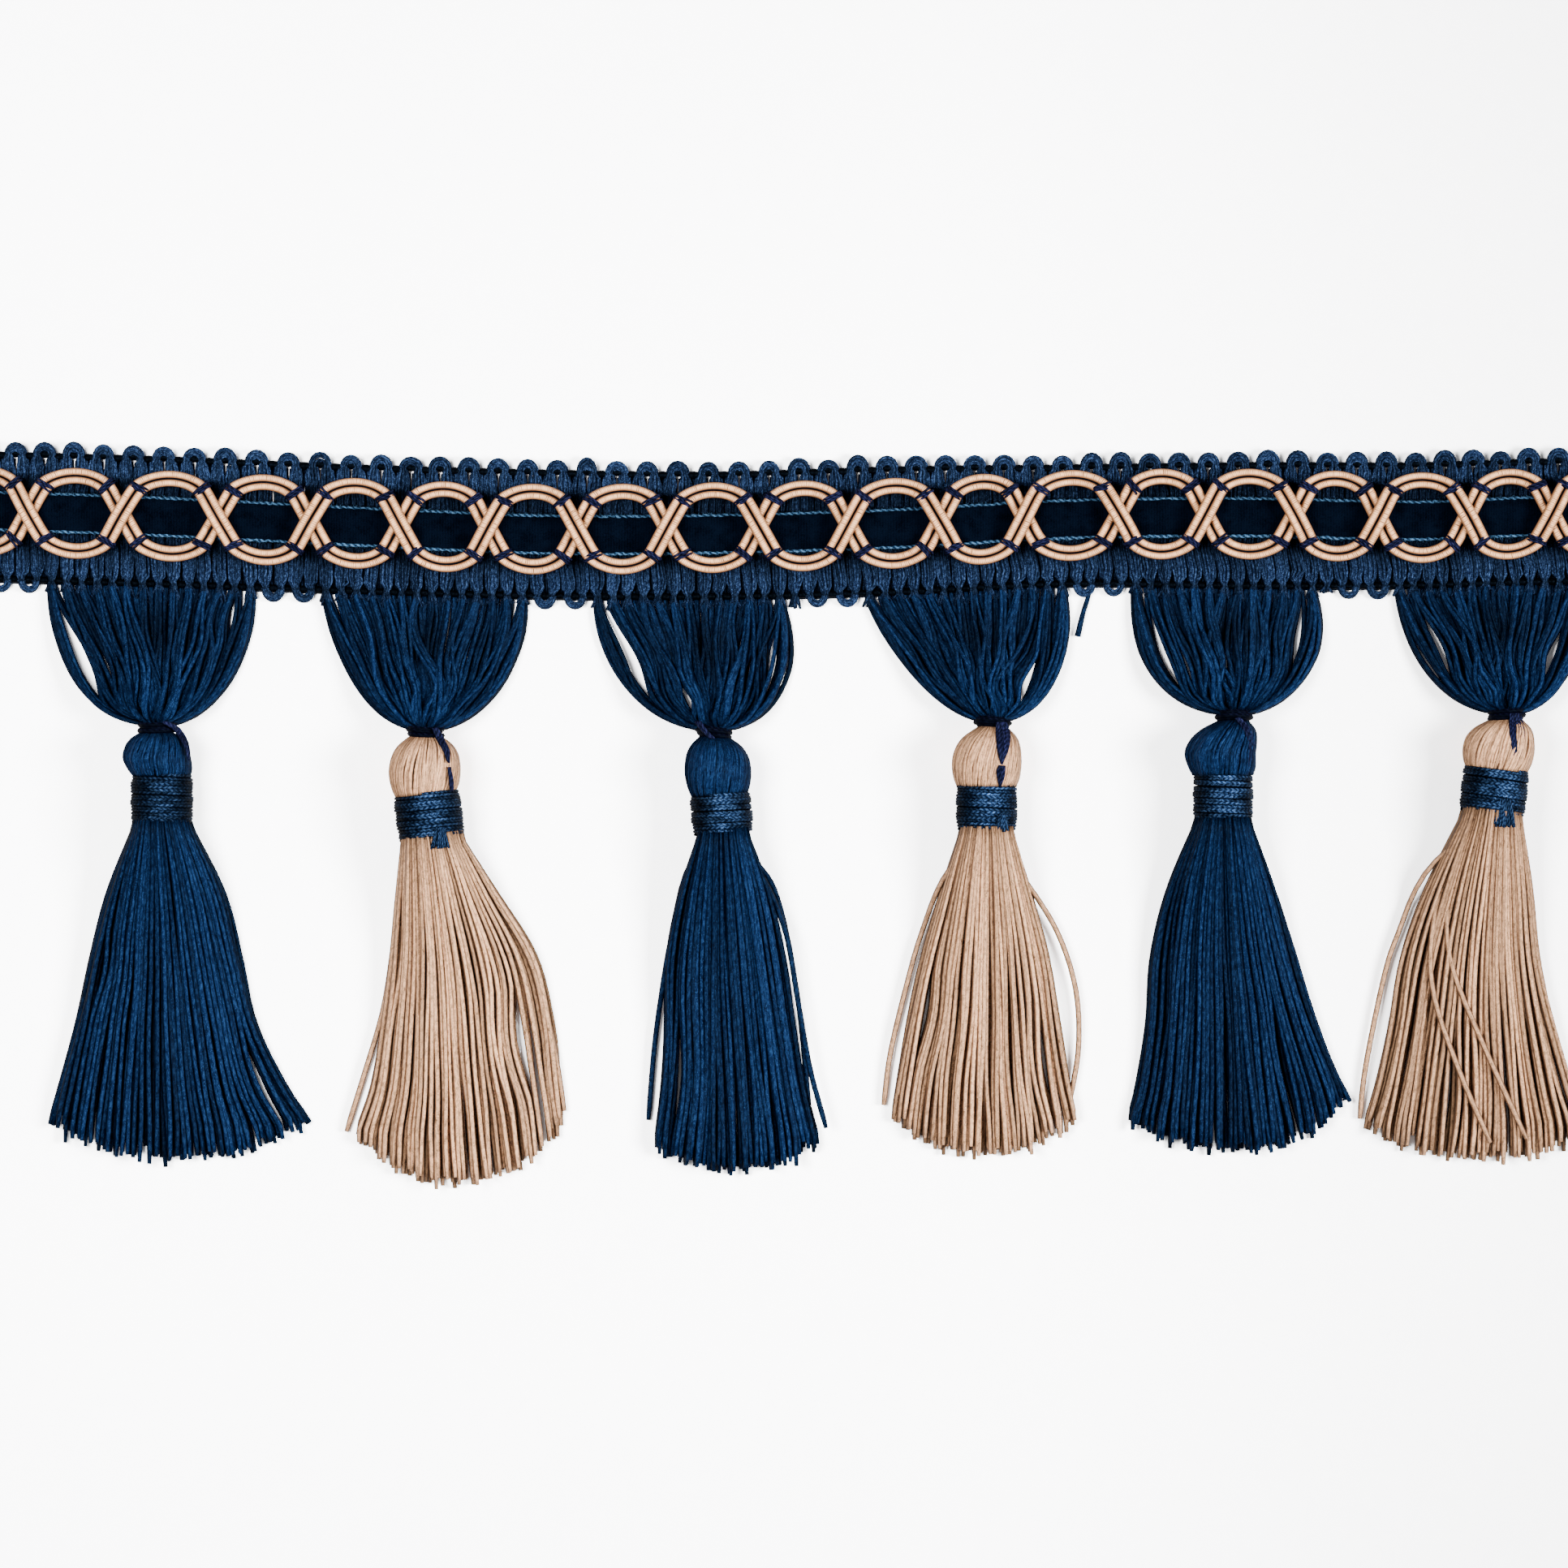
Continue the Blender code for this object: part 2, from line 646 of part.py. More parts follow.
def add_wrap(collection, number, material):
    """The wound band in a tassel's groove, a ring turned round the wrap's own axis."""
    wrap = WRAPS[number - 1]
    inner = wrap.radius - WRAP_THICKNESS
    edge = wrap.radius - WRAP_ROUNDING
    profile = ((-1.0, inner), (-1.0, edge), (0.0, wrap.radius), (1.0, edge), (1.0, inner))
    sides = 2 * (SKIRT_COLUMNS + SKIRT_ROWS)
    bm = bmesh.new()
    loops = []
    for share, radius in profile:
        ring = wrap_end(wrap, share, radius)
        lean = math.radians(ring.lean)
        loop = []
        for step in range(sides):
            turn = 2 * math.pi * step / sides
            side = radius * math.cos(turn)
            lift = ring.z + radius * math.sin(turn)
            x = ring.x + side * math.cos(lean)
            y = ring.y + side * math.sin(lean)
            loop.append(bm.verts.new((x, y, lift)))
        loops.append(loop)
    for low, high in zip(loops, loops[1:] + loops[:1]):
        for i in range(sides):
            after = (i + 1) % sides
            bm.faces.new((low[i], low[after], high[after], high[i]))
    add_mesh(collection, f"wrap_{number}", bm, material)


def add_tie(collection, number, material):
    """The tie cord down a head's face, held just clear of the ball."""
    head, wrap = HEADS[number - 1], WRAPS[number - 1]
    rings = head_rings(head, wrap)
    points = []
    for x, y in TIES[number]:
        centre = smooth_read(rings, "y", "x", y)
        axis = smooth_read(rings, "y", "z", y)
        radius = smooth_read(rings, "y", "radius", y) + GAP + TIE_RADIUS
        points.append((x, y, axis + math.sqrt(radius ** 2 - (x - centre) ** 2)))
    add_cord(collection, f"tie_{number}", points, TIE_RADIUS, material)


def build():
    """Make every piece of the trim."""
    clear_scene()
    trim = bpy.data.collections.new("tassel_fringe_trim")
    bpy.context.scene.collection.children.link(trim)
    materials = {name: make_material(name) for name in COLOURS}
    add_heading(trim, materials["navy"])
    add_ribbon(trim, materials["velvet"])
    add_gimp(trim, materials["gimp"])
    for number, head in enumerate(HEADS, start=1):
        add_hanger(trim, number, materials["navy"])
        add_tassel(trim, number, materials[head.cotton])
        add_wrap(trim, number, materials["satin"])
    for number in TIES:
        add_tie(trim, number, materials["indigo"])


build()
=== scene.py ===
"""Looks of the tassel fringe trim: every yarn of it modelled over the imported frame.

The making works in millimetres, in the frame's own axes, and turns them into metres
when a mesh is made. All the routes repeat the ones that the frame was built on.
"""

import math
from collections import namedtuple

import bpy
import numpy as np
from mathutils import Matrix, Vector


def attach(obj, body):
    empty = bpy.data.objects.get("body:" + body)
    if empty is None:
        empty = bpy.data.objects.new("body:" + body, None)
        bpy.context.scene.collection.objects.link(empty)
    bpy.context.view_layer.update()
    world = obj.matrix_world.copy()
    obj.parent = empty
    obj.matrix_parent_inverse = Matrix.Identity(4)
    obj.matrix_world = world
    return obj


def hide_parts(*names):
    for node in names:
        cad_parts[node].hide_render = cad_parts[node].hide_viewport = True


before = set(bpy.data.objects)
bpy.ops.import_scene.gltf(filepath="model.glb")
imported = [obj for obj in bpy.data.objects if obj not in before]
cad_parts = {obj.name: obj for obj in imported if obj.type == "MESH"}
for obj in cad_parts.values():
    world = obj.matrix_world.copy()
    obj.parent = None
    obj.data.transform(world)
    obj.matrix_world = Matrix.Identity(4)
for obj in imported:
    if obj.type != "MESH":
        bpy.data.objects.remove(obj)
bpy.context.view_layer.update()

MM = 0.001
UP = np.array((0.0, 0.0, 1.0))

ARCH_PITCH = 12.52 / 3
ARCH_COUNT = 57
ARCHES_PER_TASSEL = 9
HALF_LENGTH = ARCH_COUNT * ARCH_PITCH / 2
TALL_ARCHES = {20: 0.8, 29: 0.5}
RING_PITCH = 12.52
APEX_RISE = 5.3
KNEE_X = 4.15
KNEE_RISE = 3.86
PAIR_SPACING = 1.36
GIMP_RADIUS = 0.56
ARC_SQUEEZE = 0.89
ON_BAND = 2.05
ON_RIBBON = 3.3
OVER_CROSSING = 4.7
NECK_RADIUS = 2.5

Line = namedtuple("Line", "x middle upper lower")
Hanger = namedtuple("Hanger", "left right belly_left belly_right round_left round_right")
Head = namedtuple("Head", "x y radius neck_x neck_y top cotton")
Wrap = namedtuple("Wrap", "x y z radius length lean")
Fold = namedtuple("Fold", "y left right")
Tips = namedtuple("Tips", "left middle right")
Leg = namedtuple("Leg", "line offset middle spread z lit")
Parting = namedtuple("Parting", "tassel spread width low high")
Tail = namedtuple("Tail", "tassel width route")
Tuft = namedtuple("Tuft", "tassel left right top bottom lift")
Loose = namedtuple("Loose", "tassel lift route")

LINES = (
    Line(-119.0, 41.8, 50.3, 32.4),
    Line(-91.0, 41.0, 49.5, 31.5),
    Line(-65.0, 40.0, 48.4, 30.6),
    Line(-40.0, 39.2, 47.7, 29.9),
    Line(-15.0, 39.4, 47.4, 29.8),
    Line(10.0, 40.0, 48.1, 30.4),
    Line(35.0, 41.1, 48.4, 31.6),
    Line(60.0, 41.3, 48.7, 31.3),
    Line(84.0, 40.8, 48.7, 31.4),
    Line(100.0, 41.4, 49.2, 31.9),
    Line(119.0, 41.2, 49.3, 31.9),
)

# How far the weft's even grid has slid along the heading, above and below
UPPER_SLIDES = (
    (-119, 0.0), (-100, -0.4), (-83, 0.0), (-70, 0.8), (-60, 1.0), (-48, 0.7), (-30, 0.6), (-8, 1.1),
    (20, 0.7), (32, 0.5), (50, 0.1), (75, 0.0), (90, -0.3), (100, -1.0), (108, -0.8), (119, 0.0),
)
LOWER_SLIDES = (
    (-119, 0.0), (-110, -0.4), (-75, 0.5), (-37, 1.0), (0, 1.6), (38, 1.4), (75, 0.9), (100, 0.2),
    (119, 0.0),
)

# Where the gimp waves cross, from one end of the heading to the other
CROSSINGS = (
    -123.3, -110.8, -97.7, -84.3, -71.4, -58.8, -46.5, -34.1, -21.5, -8.7, 3.8,
    16.6, 28.4, 41.6, 53.7, 66.2, 77.9, 90.3, 102.1, 114.6, 127.1,
)

HANGERS = (
    Hanger(-108.3, -79.7, -0.3, 0.8, 0.69, 0.62),
    Hanger(-69.6, -41.9, -1.4, 0.9, 0.52, 0.58),
    Hanger(-31.9, -4.0, -0.5, 1.0, 0.60, 0.86),
    Hanger(6.3, 34.3, -3.0, 1.5, 0.36, 0.74),
    Hanger(42.6, 70.6, -1.1, 0.9, 0.71, 0.66),
    Hanger(80.5, 108.4, -1.5, -0.6, 0.57, 0.53),
)

HEADS = (
    Head(-92.7, 7.8, 4.7, -92.7, 12.5, 10.9, "navy"),
    Head(-55.3, 6.0, 5.0, -55.2, 12.0, 10.3, "tan"),
    Head(-14.4, 5.6, 4.6, -15.0, 10.8, 10.2, "navy"),
    Head(23.1, 7.0, 4.85, 23.9, 12.0, 11.5, "tan"),
    Head(55.7, 8.6, 4.95, 57.6, 13.2, 12.4, "navy"),
    Head(94.5, 8.9, 4.95, 95.6, 13.4, 12.6, "tan"),
)

WRAPS = (
    Wrap(-92.0, 1.5, 4.5, 4.25, 7.0, 0.0),
    Wrap(-54.7, -0.8, 4.8, 4.60, 6.6, 7.5),
    Wrap(-13.9, -0.5, 4.4, 4.20, 5.8, 5.0),
    Wrap(23.1, 0.3, 4.5, 4.20, 6.5, 0.0),
    Wrap(56.1, 1.7, 4.5, 4.10, 6.8, 0.0),
    Wrap(93.9, 2.6, 4.8, 4.55, 6.5, -6.0),
)

# Heights at which every skirt's outline was read, and each skirt's own last height with
# the places of its left and right edge from the wrap down
FOLD_HEIGHTS = (-11.7, -20.8, -29.9, -39.0)
SKIRT_EDGES = (
    (-44.0, (-99.9, -102.4, -104.5, -107.0, -108.4), (-83.6, -81.5, -79.3, -74.7, -71.2)),
    (-45.0, (-59.3, -60.3, -61.6, -63.0, -65.2), (-45.3, -39.6, -37.3, -36.3, -35.7)),
    (-46.0, (-21.0, -23.1, -23.4, -23.7, -24.7), (-6.0, -3.6, -2.3, -1.0, 1.0)),
    (-43.0, (16.1, 13.2, 11.0, 9.2, 8.6), (30.1, 33.0, 34.6, 36.1, 37.1)),
    (-43.0, (48.2, 46.3, 45.7, 44.3, 43.2), (63.6, 66.2, 69.3, 73.2, 74.4)),
    (-44.0, (83.8, 80.7, 79.1, 77.1, 75.6), (99.8, 100.9, 103.1, 106.1, 108.4)),
)
SKIRTS = tuple(
    tuple(Fold(*row) for row in zip((*FOLD_HEIGHTS, last), left, right))
    for last, left, right in SKIRT_EDGES
)

TIPS = (
    Tips(-43.5, -48.8, -43.0),
    Tips(-45.7, -51.9, -42.9),
    Tips(-46.4, -50.1, -45.4),
    Tips(-41.8, -47.9, -42.0),
    Tips(-43.6, -47.4, -40.2),
    Tips(-43.3, -48.7, -44.5),
)
TIP_ROUNDING = 2.5

# How light the yarn of each skirt is beside the first one's: partly the yarn's own tone, partly painted
# fall-off of the lamps' light towards the right
YARN_LOTS_AND_FALLOFF = (1.0, 1.04, 0.95, 0.97, 0.88, 0.80)

# One leg of the weft from its foot to where the arch springs: its own middle and half
# its width, both measured from the middle of the arch, its height, and its painted
# light level: painted shade beside the ribbon, under the gimp and at the lower warp
LEGS = (
    Leg("lower", 0.0, 1.04, 0.26, 1.30, 0.3),
    Leg("lower", 0.5, 1.04, 0.42, 1.20, 0.9),
    Leg("lower", 1.1, 1.04, 0.72, 1.00, 1.1),
    Leg("lower", 2.2, 1.04, 0.80, 0.90, 0.9),
    Leg("middle", -4.6, 1.04, 0.82, 0.70, 0.25),
    Leg("middle", -3.1, 1.04, 0.82, 0.70, 0.45),
    Leg("middle", 3.1, 1.04, 0.74, 0.70, 0.40),
    Leg("middle", 4.6, 1.05, 0.82, 0.75, 0.25),
    Leg("upper", -3.0, 1.06, 0.86, 0.95, 1.0),
    Leg("upper", -2.0, 1.08, 0.80, 0.95, 1.1),
    Leg("upper", -1.1, 1.08, 0.66, 1.10, 0.8),
)
LEG_REACH = 1.04
FOOT = 1.6
ARCH_SEAT = 0.45
ARCH_STRETCH = 1.15
ARCH_RADIUS = 0.98
ARCH_SPREAD = 0.50
WEFT_RADIUS = 0.2
WEFT_STRANDS = 7
BACKING = (("lower", -0.6, 0.85), ("lower", 2.0, 0.85), ("middle", 0.0, 0.85), ("upper", -4.0, 0.80),
           ("upper", -2.6, 0.88), ("upper", -1.0, 0.84))

# Ball head: share of the way from the wrap to the collar, and share of the full radius
HEAD_PROFILE = ((0.0, 0.86), (0.15, 0.95), (0.40, 1.0), (0.62, 0.95), (0.78, 0.83), (0.89, 0.66),
                (0.96, 0.50), (1.03, 0.38))

# Where a hanger's yarns part and show what is behind: place from left to right, how far
# they part, and the shares of the way up between which they do
PARTINGS = (
    Parting(1, -0.88, 1.5, 0.25, 1.0),
    Parting(1, -0.72, 0.9, 0.25, 0.80),
    Parting(1, 0.84, 0.9, 0.70, 1.05),
    Parting(2, -0.36, 0.9, 0.30, 0.66),
    Parting(2, 0.90, 0.6, 0.45, 0.90),
    Parting(3, -0.86, 1.9, 0.35, 1.0),
    Parting(3, -0.42, 1.4, 0.15, 0.58),
    Parting(3, 0.86, 1.2, 0.35, 0.95),
    Parting(4, -0.90, 0.7, 0.50, 0.90),
    Parting(4, 0.74, 1.3, 0.25, 0.65),
    Parting(5, -0.84, 1.1, 0.25, 0.95),
    Parting(5, -0.68, 1.3, 0.15, 0.85),
    Parting(5, 0.84, 1.1, 0.45, 0.98),
    Parting(6, -0.80, 1.2, 0.40, 0.95),
    Parting(6, -0.55, 0.9, 0.15, 0.50),
    Parting(6, 0.78, 1.2, 0.35, 0.80),
)

# The same for the skirts, from the wrap down
SKIRT_PARTINGS = (
    Parting(1, -0.86, 0.6, 0.35, 0.60),
    Parting(1, 0.80, 1.2, 0.60, 1.10),
    Parting(2, 0.74, 1.5, 0.45, 0.85),
    Parting(3, -0.70, 0.8, 0.50, 1.05),
    Parting(4, 0.72, 1.0, 0.55, 1.05),
    Parting(4, -0.78, 0.8, 0.45, 0.80),
    Parting(5, 0.55, 0.8, 0.55, 1.05),
    Parting(6, -0.30, 0.8, 0.60, 1.10),
)

# Ends of the tie threads that lie on the heads, and their cut pieces
TAILS = (
    Tail(1, 1.0, ((-91.9, 12.2), (-90.2, 11.2), (-89.0, 9.2), (-88.5, 7.0))),
    Tail(2, 1.1, ((-54.0, 11.4), (-53.3, 9.8), (-52.5, 8.2), (-52.1, 6.6))),
    Tail(2, 0.7, ((-52.0, 5.9), (-51.9, 5.0), (-51.8, 4.0), (-51.7, 2.6))),
    Tail(3, 1.0, ((-17.2, 12.2), (-16.6, 11.4), (-15.9, 10.6), (-15.2, 9.9))),
    Tail(4, 2.0, ((25.2, 12.2), (25.5, 10.6), (25.5, 8.6), (25.3, 6.4))),
    Tail(4, 1.2, ((25.4, 6.1), (25.2, 5.3), (25.2, 4.5), (25.1, 3.2))),
    Tail(5, 1.1, ((58.3, 12.8), (59.6, 11.2), (60.3, 9.0), (59.9, 6.0))),
    Tail(6, 2.2, ((97.2, 13.4), (97.4, 11.2), (97.5, 9.0), (97.3, 6.4))),
    Tail(6, 1.0, ((97.3, 6.9), (97.2, 6.5), (97.1, 6.1), (97.0, 5.4))),
)
TUFTS = (
    Tuft(2, -54.6, -52.1, -3.4, -5.4, 9.6),
    Tuft(4, 24.5, 26.2, -1.6, -3.0, 9.1),
    Tuft(6, 94.3, 97.1, 0.6, -2.4, 9.6),
)

# Strands that lie apart from their skirt, or across it
LOOSE = (
    Loose(1, 0.8, ((-97.5, -9.0), (-99.9, -15.0), (-102.1, -24.0), (-104.6, -33.0), (-107.9, -43.6))),
    Loose(2, 0.9, ((-47.0, -12.5), (-42.4, -20.5), (-38.9, -27.5), (-37.2, -34.0), (-35.9, -42.3))),
    Loose(2, 0.7, ((-48.0, -13.0), (-43.2, -21.2), (-40.0, -28.0), (-38.6, -35.0), (-37.3, -44.0))),
    Loose(2, 0.7, ((-58.6, -10.0), (-59.9, -19.0), (-61.4, -28.0), (-64.0, -37.0), (-66.5, -45.2))),
    Loose(3, 0.7, ((-18.6, -8.3), (-21.1, -18.5), (-22.4, -26.5), (-23.4, -34.4), (-24.2, -43.6))),
    Loose(3, 0.7, ((-7.9, -8.8), (-5.6, -14.0), (-3.9, -22.0), (-2.6, -31.0), (-1.4, -45.8))),
    Loose(3, 2.6, ((-8.6, -8.8), (-5.0, -17.0), (-3.4, -26.0), (-1.6, -36.0), (0.8, -44.6))),
    Loose(4, 0.7, ((17.4, -9.2), (14.1, -17.4), (11.9, -25.3), (9.7, -34.4), (8.7, -41.5))),
    Loose(4, 0.8, ((29.0, -10.6), (33.2, -17.4), (35.7, -25.3), (36.1, -33.3), (34.9, -40.7))),
    Loose(5, 0.9, ((62.5, -10.0), (65.2, -17.0), (68.6, -28.0), (71.6, -36.0), (74.2, -41.0))),
    Loose(6, 0.7, ((85.0, -8.3), (80.8, -17.6), (78.8, -23.8), (76.3, -36.0), (75.5, -43.4))),
    Loose(6, 3.6, ((88.6, -8.0), (87.4, -15.0), (88.3, -22.5), (92.6, -33.0), (98.6, -46.0))),
    Loose(6, 3.4, ((87.4, -9.0), (85.2, -18.0), (85.6, -26.2), (89.2, -36.6), (93.7, -46.6))),
)
LOOSE_END = ((37.9, 31.0), (37.3, 29.2), (36.7, 27.2), (36.0, 24.2))

# How far the velvet ribbon lies below the middle of the gimp's rings
RIBBON_DROPS = ((-119, 0.0), (-100, 0.05), (-60, 0.5), (-15, 0.9), (40, 0.5), (119, 0.4))

# The camera's place over the table, and how high it stands
CAMERA = (-5.17, 3.52, 825.1)
PHOTO_WIDTH = 0.2195
WRAP_PITCH = 0.84


def mix(low, high, share):
    """The value a share of the way from low to high."""
    return low + (high - low) * share


def smooth(keys, values, places):
    """Values on a smooth curve through the points of a table."""
    keys = np.asarray(keys, float)
    values = np.asarray(values, float)
    order = np.argsort(keys)
    keys, values = keys[order], values[order]
    places = np.clip(places, keys[0], keys[-1])
    slopes = np.empty_like(values)
    slopes[1:-1] = (values[2:] - values[:-2]) / (keys[2:] - keys[:-2])
    slopes[0] = (values[1] - values[0]) / (keys[1] - keys[0])
    slopes[-1] = (values[-1] - values[-2]) / (keys[-1] - keys[-2])
    index = np.clip(np.searchsorted(keys, places, side="right") - 1, 0, len(keys) - 2)
    span = keys[index + 1] - keys[index]
    share = (places - keys[index]) / span
    ease = share * share * (3 - 2 * share)
    rise = slopes[index] * span * share * (1 - share) ** 2
    fall = slopes[index + 1] * span * share ** 2 * (1 - share)
    return mix(values[index], values[index + 1], ease) + rise - fall


def column(rows, name):
    """One named column of a table."""
    return [getattr(row, name) for row in rows]


def line_at(name, x):
    """Height across the table of one of the heading's lines."""
    return smooth(column(LINES, "x"), column(LINES, name), x)


def slide(name, x):
    """A place on the weft's even grid, moved to where it lies along the heading."""
    slides = {"upper": UPPER_SLIDES, "lower": LOWER_SLIDES}
    if name in slides:
        return x + smooth(*np.array(slides[name]).T, x)
    return (slide("upper", x) + slide("lower", x)) / 2


def ribbon_middle(x):
    """Height across the table of the velvet ribbon's middle."""
    return line_at("middle", x) - smooth(*np.array(RIBBON_DROPS).T, x)


def seen_from_above(x, y, z):
    """Places read off the photograph at table height, moved to where they are at z."""
    closer = 1 - (z - 2.0) / CAMERA[2]
    return mix(CAMERA[0], x, closer), mix(CAMERA[1], y, closer)


def unit(vectors):
    """The vectors, each one unit long."""
    length = np.linalg.norm(vectors, axis=-1, keepdims=True)
    return vectors / np.maximum(length, 1e-9)


def wander(rng, count, points, waves, size):
    """Slow sideways drift of a number of yarns, one row each."""
    along = np.linspace(0, 1, points)
    drift = np.zeros((count, points))
    for wave in range(1, waves + 1):
        phase = rng.uniform(0, 2 * math.pi, (count, 1))
        height = rng.normal(0, 1, (count, 1)) / wave
        drift += height * np.sin(math.pi * wave * along + phase)
    return drift * size


def tubes(name, routes, radii, sides=5, up=UP, mirrored=None, lit=1.0):
    """One mesh of many yarns, each a tube with closed ends.

    Routes hold yarns, points and places. The texture map runs round a yarn and
    along it in millimetres. Every yarn carries a number of its own, and every point
    a light level: painted light and shade among its neighbours, and some of its own tone.
    """
    routes = np.asarray(routes, float)
    count, points, _ = routes.shape
    radii = np.broadcast_to(radii, (count, points))
    along = unit(np.gradient(routes, axis=1))
    side = unit(np.cross(along, np.broadcast_to(up, routes.shape)))
    lift = np.cross(side, along)
    turn = 2 * math.pi * np.arange(sides) / sides
    ring = np.cos(turn)[:, None] * side[:, :, None, :] + np.sin(turn)[:, None] * lift[:, :, None, :]
    places = routes[:, :, None, :] + radii[:, :, None, None] * ring
    yarn, step, corner = np.meshgrid(
        np.arange(count), np.arange(points - 1), np.arange(sides), indexing="ij"
    )
    after = (corner + 1) % sides
    low = (yarn * points + step) * sides
    high = low + sides
    quads = np.stack((low + corner, high + corner, high + after, low + after), axis=-1)
    starts = np.arange(count)[:, None] * points * sides + np.arange(sides)
    ends = starts[:, ::-1] + (points - 1) * sides
    faces = quads.reshape(-1, 4).tolist() + starts.tolist() + ends.tolist()
    mesh = bpy.data.meshes.new(name)
    mesh.from_pydata((places.reshape(-1, 3) * MM).tolist(), [], faces)
    steps = np.linalg.norm(np.diff(routes, axis=1), axis=-1)
    length = np.concatenate((np.zeros((count, 1)), np.cumsum(steps, axis=1)), axis=1)
    round_low = corner / sides
    round_high = (corner + 1) / sides
    if mirrored is not None:
        flip = np.asarray(mirrored)[yarn]
        round_low = np.where(flip, 1.5 - round_low, round_low)
        round_high = np.where(flip, 1.5 - round_high, round_high)
    near, far = length[yarn, step], length[yarn, step + 1]
    mapped_u = np.stack((round_low, round_low, round_high, round_high), axis=-1).ravel()
    mapped_v = np.stack((near, far, far, near), axis=-1).ravel()
    caps = np.zeros(count * sides)
    cap_ends = np.repeat(length[:, -1], sides)
    u = np.concatenate((mapped_u, caps, caps))
    v = np.concatenate((mapped_v, caps, cap_ends))
    layer = mesh.uv_layers.new(name="yarn")
    layer.data.foreach_set("uv", np.stack((u, v), axis=-1).ravel())
    own = np.random.default_rng(count * points + sides).uniform(0, 1, count)
    number = mesh.attributes.new("strand", "FLOAT", "POINT")
    number.data.foreach_set("value", np.repeat(own, points * sides))
    level = mesh.attributes.new("lit", "FLOAT", "POINT")
    level.data.foreach_set("value", np.repeat(np.broadcast_to(lit, (count, points)).ravel(), sides))
    return mesh


def skin(name, lines):
    """A closed skin over lines that run side by side round a form."""
    count, points, _ = lines.shape
    faces = []
    for line in range(count):
        after = (line + 1) % count
        for step in range(points - 1):
            a, b = line * points + step, after * points + step
            faces.append((a, b, b + 1, a + 1))
    faces.append(tuple(range(0, count * points, points)))
    faces.append(tuple(range(points - 1, count * points, points))[::-1])
    mesh = bpy.data.meshes.new(name)
    mesh.from_pydata((lines.reshape(-1, 3) * MM).tolist(), [], faces)
    return mesh


def add_piece(name, mesh, material, slot, *nodes):
    """A piece of the trim that rides the frame and stands for the given nodes."""
    made = bpy.data.objects.new(name, mesh)
    bpy.context.scene.collection.objects.link(made)
    mesh.materials.append(material)
    mesh.shade_smooth()
    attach(made, "root")
    if nodes:
        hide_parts(*nodes)
    return made


class Shader:
    """A material's nodes, added and linked with few words."""

    def __init__(self, name):
        self.material = bpy.data.materials.new(name)
        self.material.use_nodes = True
        self.tree = self.material.node_tree
        self.surface = self.tree.nodes["Principled BSDF"]

    def add(self, kind, **settings):
        """A node with its settings."""
        node = self.tree.nodes.new(kind)
        for key, value in settings.items():
            setattr(node, key, value)
        return node

    def join(self, source, target):
        """Link an output to an input."""
        self.tree.links.new(source, target)

    def math(self, operation, first, second=None, third=None):
        """The output of a sum; each part is an output or a number."""
        node = self.add("ShaderNodeMath", operation=operation)
        for place, value in enumerate((first, second, third)):
            if value is None:
                continue
            if isinstance(value, (int, float)):
                node.inputs[place].default_value = value
            else:
                self.join(value, node.inputs[place])
        return node.outputs[0]

    def ramp(self, factor, stops):
        """A colour ramp over a factor; stops are places and colours."""
        node = self.add("ShaderNodeValToRGB")
        elements = node.color_ramp.elements
        while len(elements) < len(stops):
            elements.new(0.5)
        for element, (place, colour) in zip(elements, stops):
            element.position = place
            element.color = (*colour, 1.0)
        self.join(factor, node.inputs[0])
        return node.outputs[0]

    def noise(self, vector, scale, detail=2.0, own=None):
        """Noise over a vector, with a yarn's own number as the fourth direction."""
        node = self.add("ShaderNodeTexNoise")
        node.inputs["Scale"].default_value = scale
        node.inputs["Detail"].default_value = detail
        if own is not None:
            node.noise_dimensions = "4D"
            self.join(own, node.inputs["W"])
        self.join(vector, node.inputs["Vector"])
        return node.outputs[0]

    def bump(self, height, distance, strength):
        """Small relief on the surface, its depth given in millimetres."""
        node = self.add("ShaderNodeBump")
        node.inputs["Strength"].default_value = strength
        node.inputs["Distance"].default_value = distance * MM
        self.join(height, node.inputs["Height"])
        self.join(node.outputs[0], self.surface.inputs["Normal"])

    def set(self, **values):
        """Numbers that hold over the whole surface."""
        for key, value in values.items():
            self.surface.inputs[key.replace("_", " ")].default_value = value


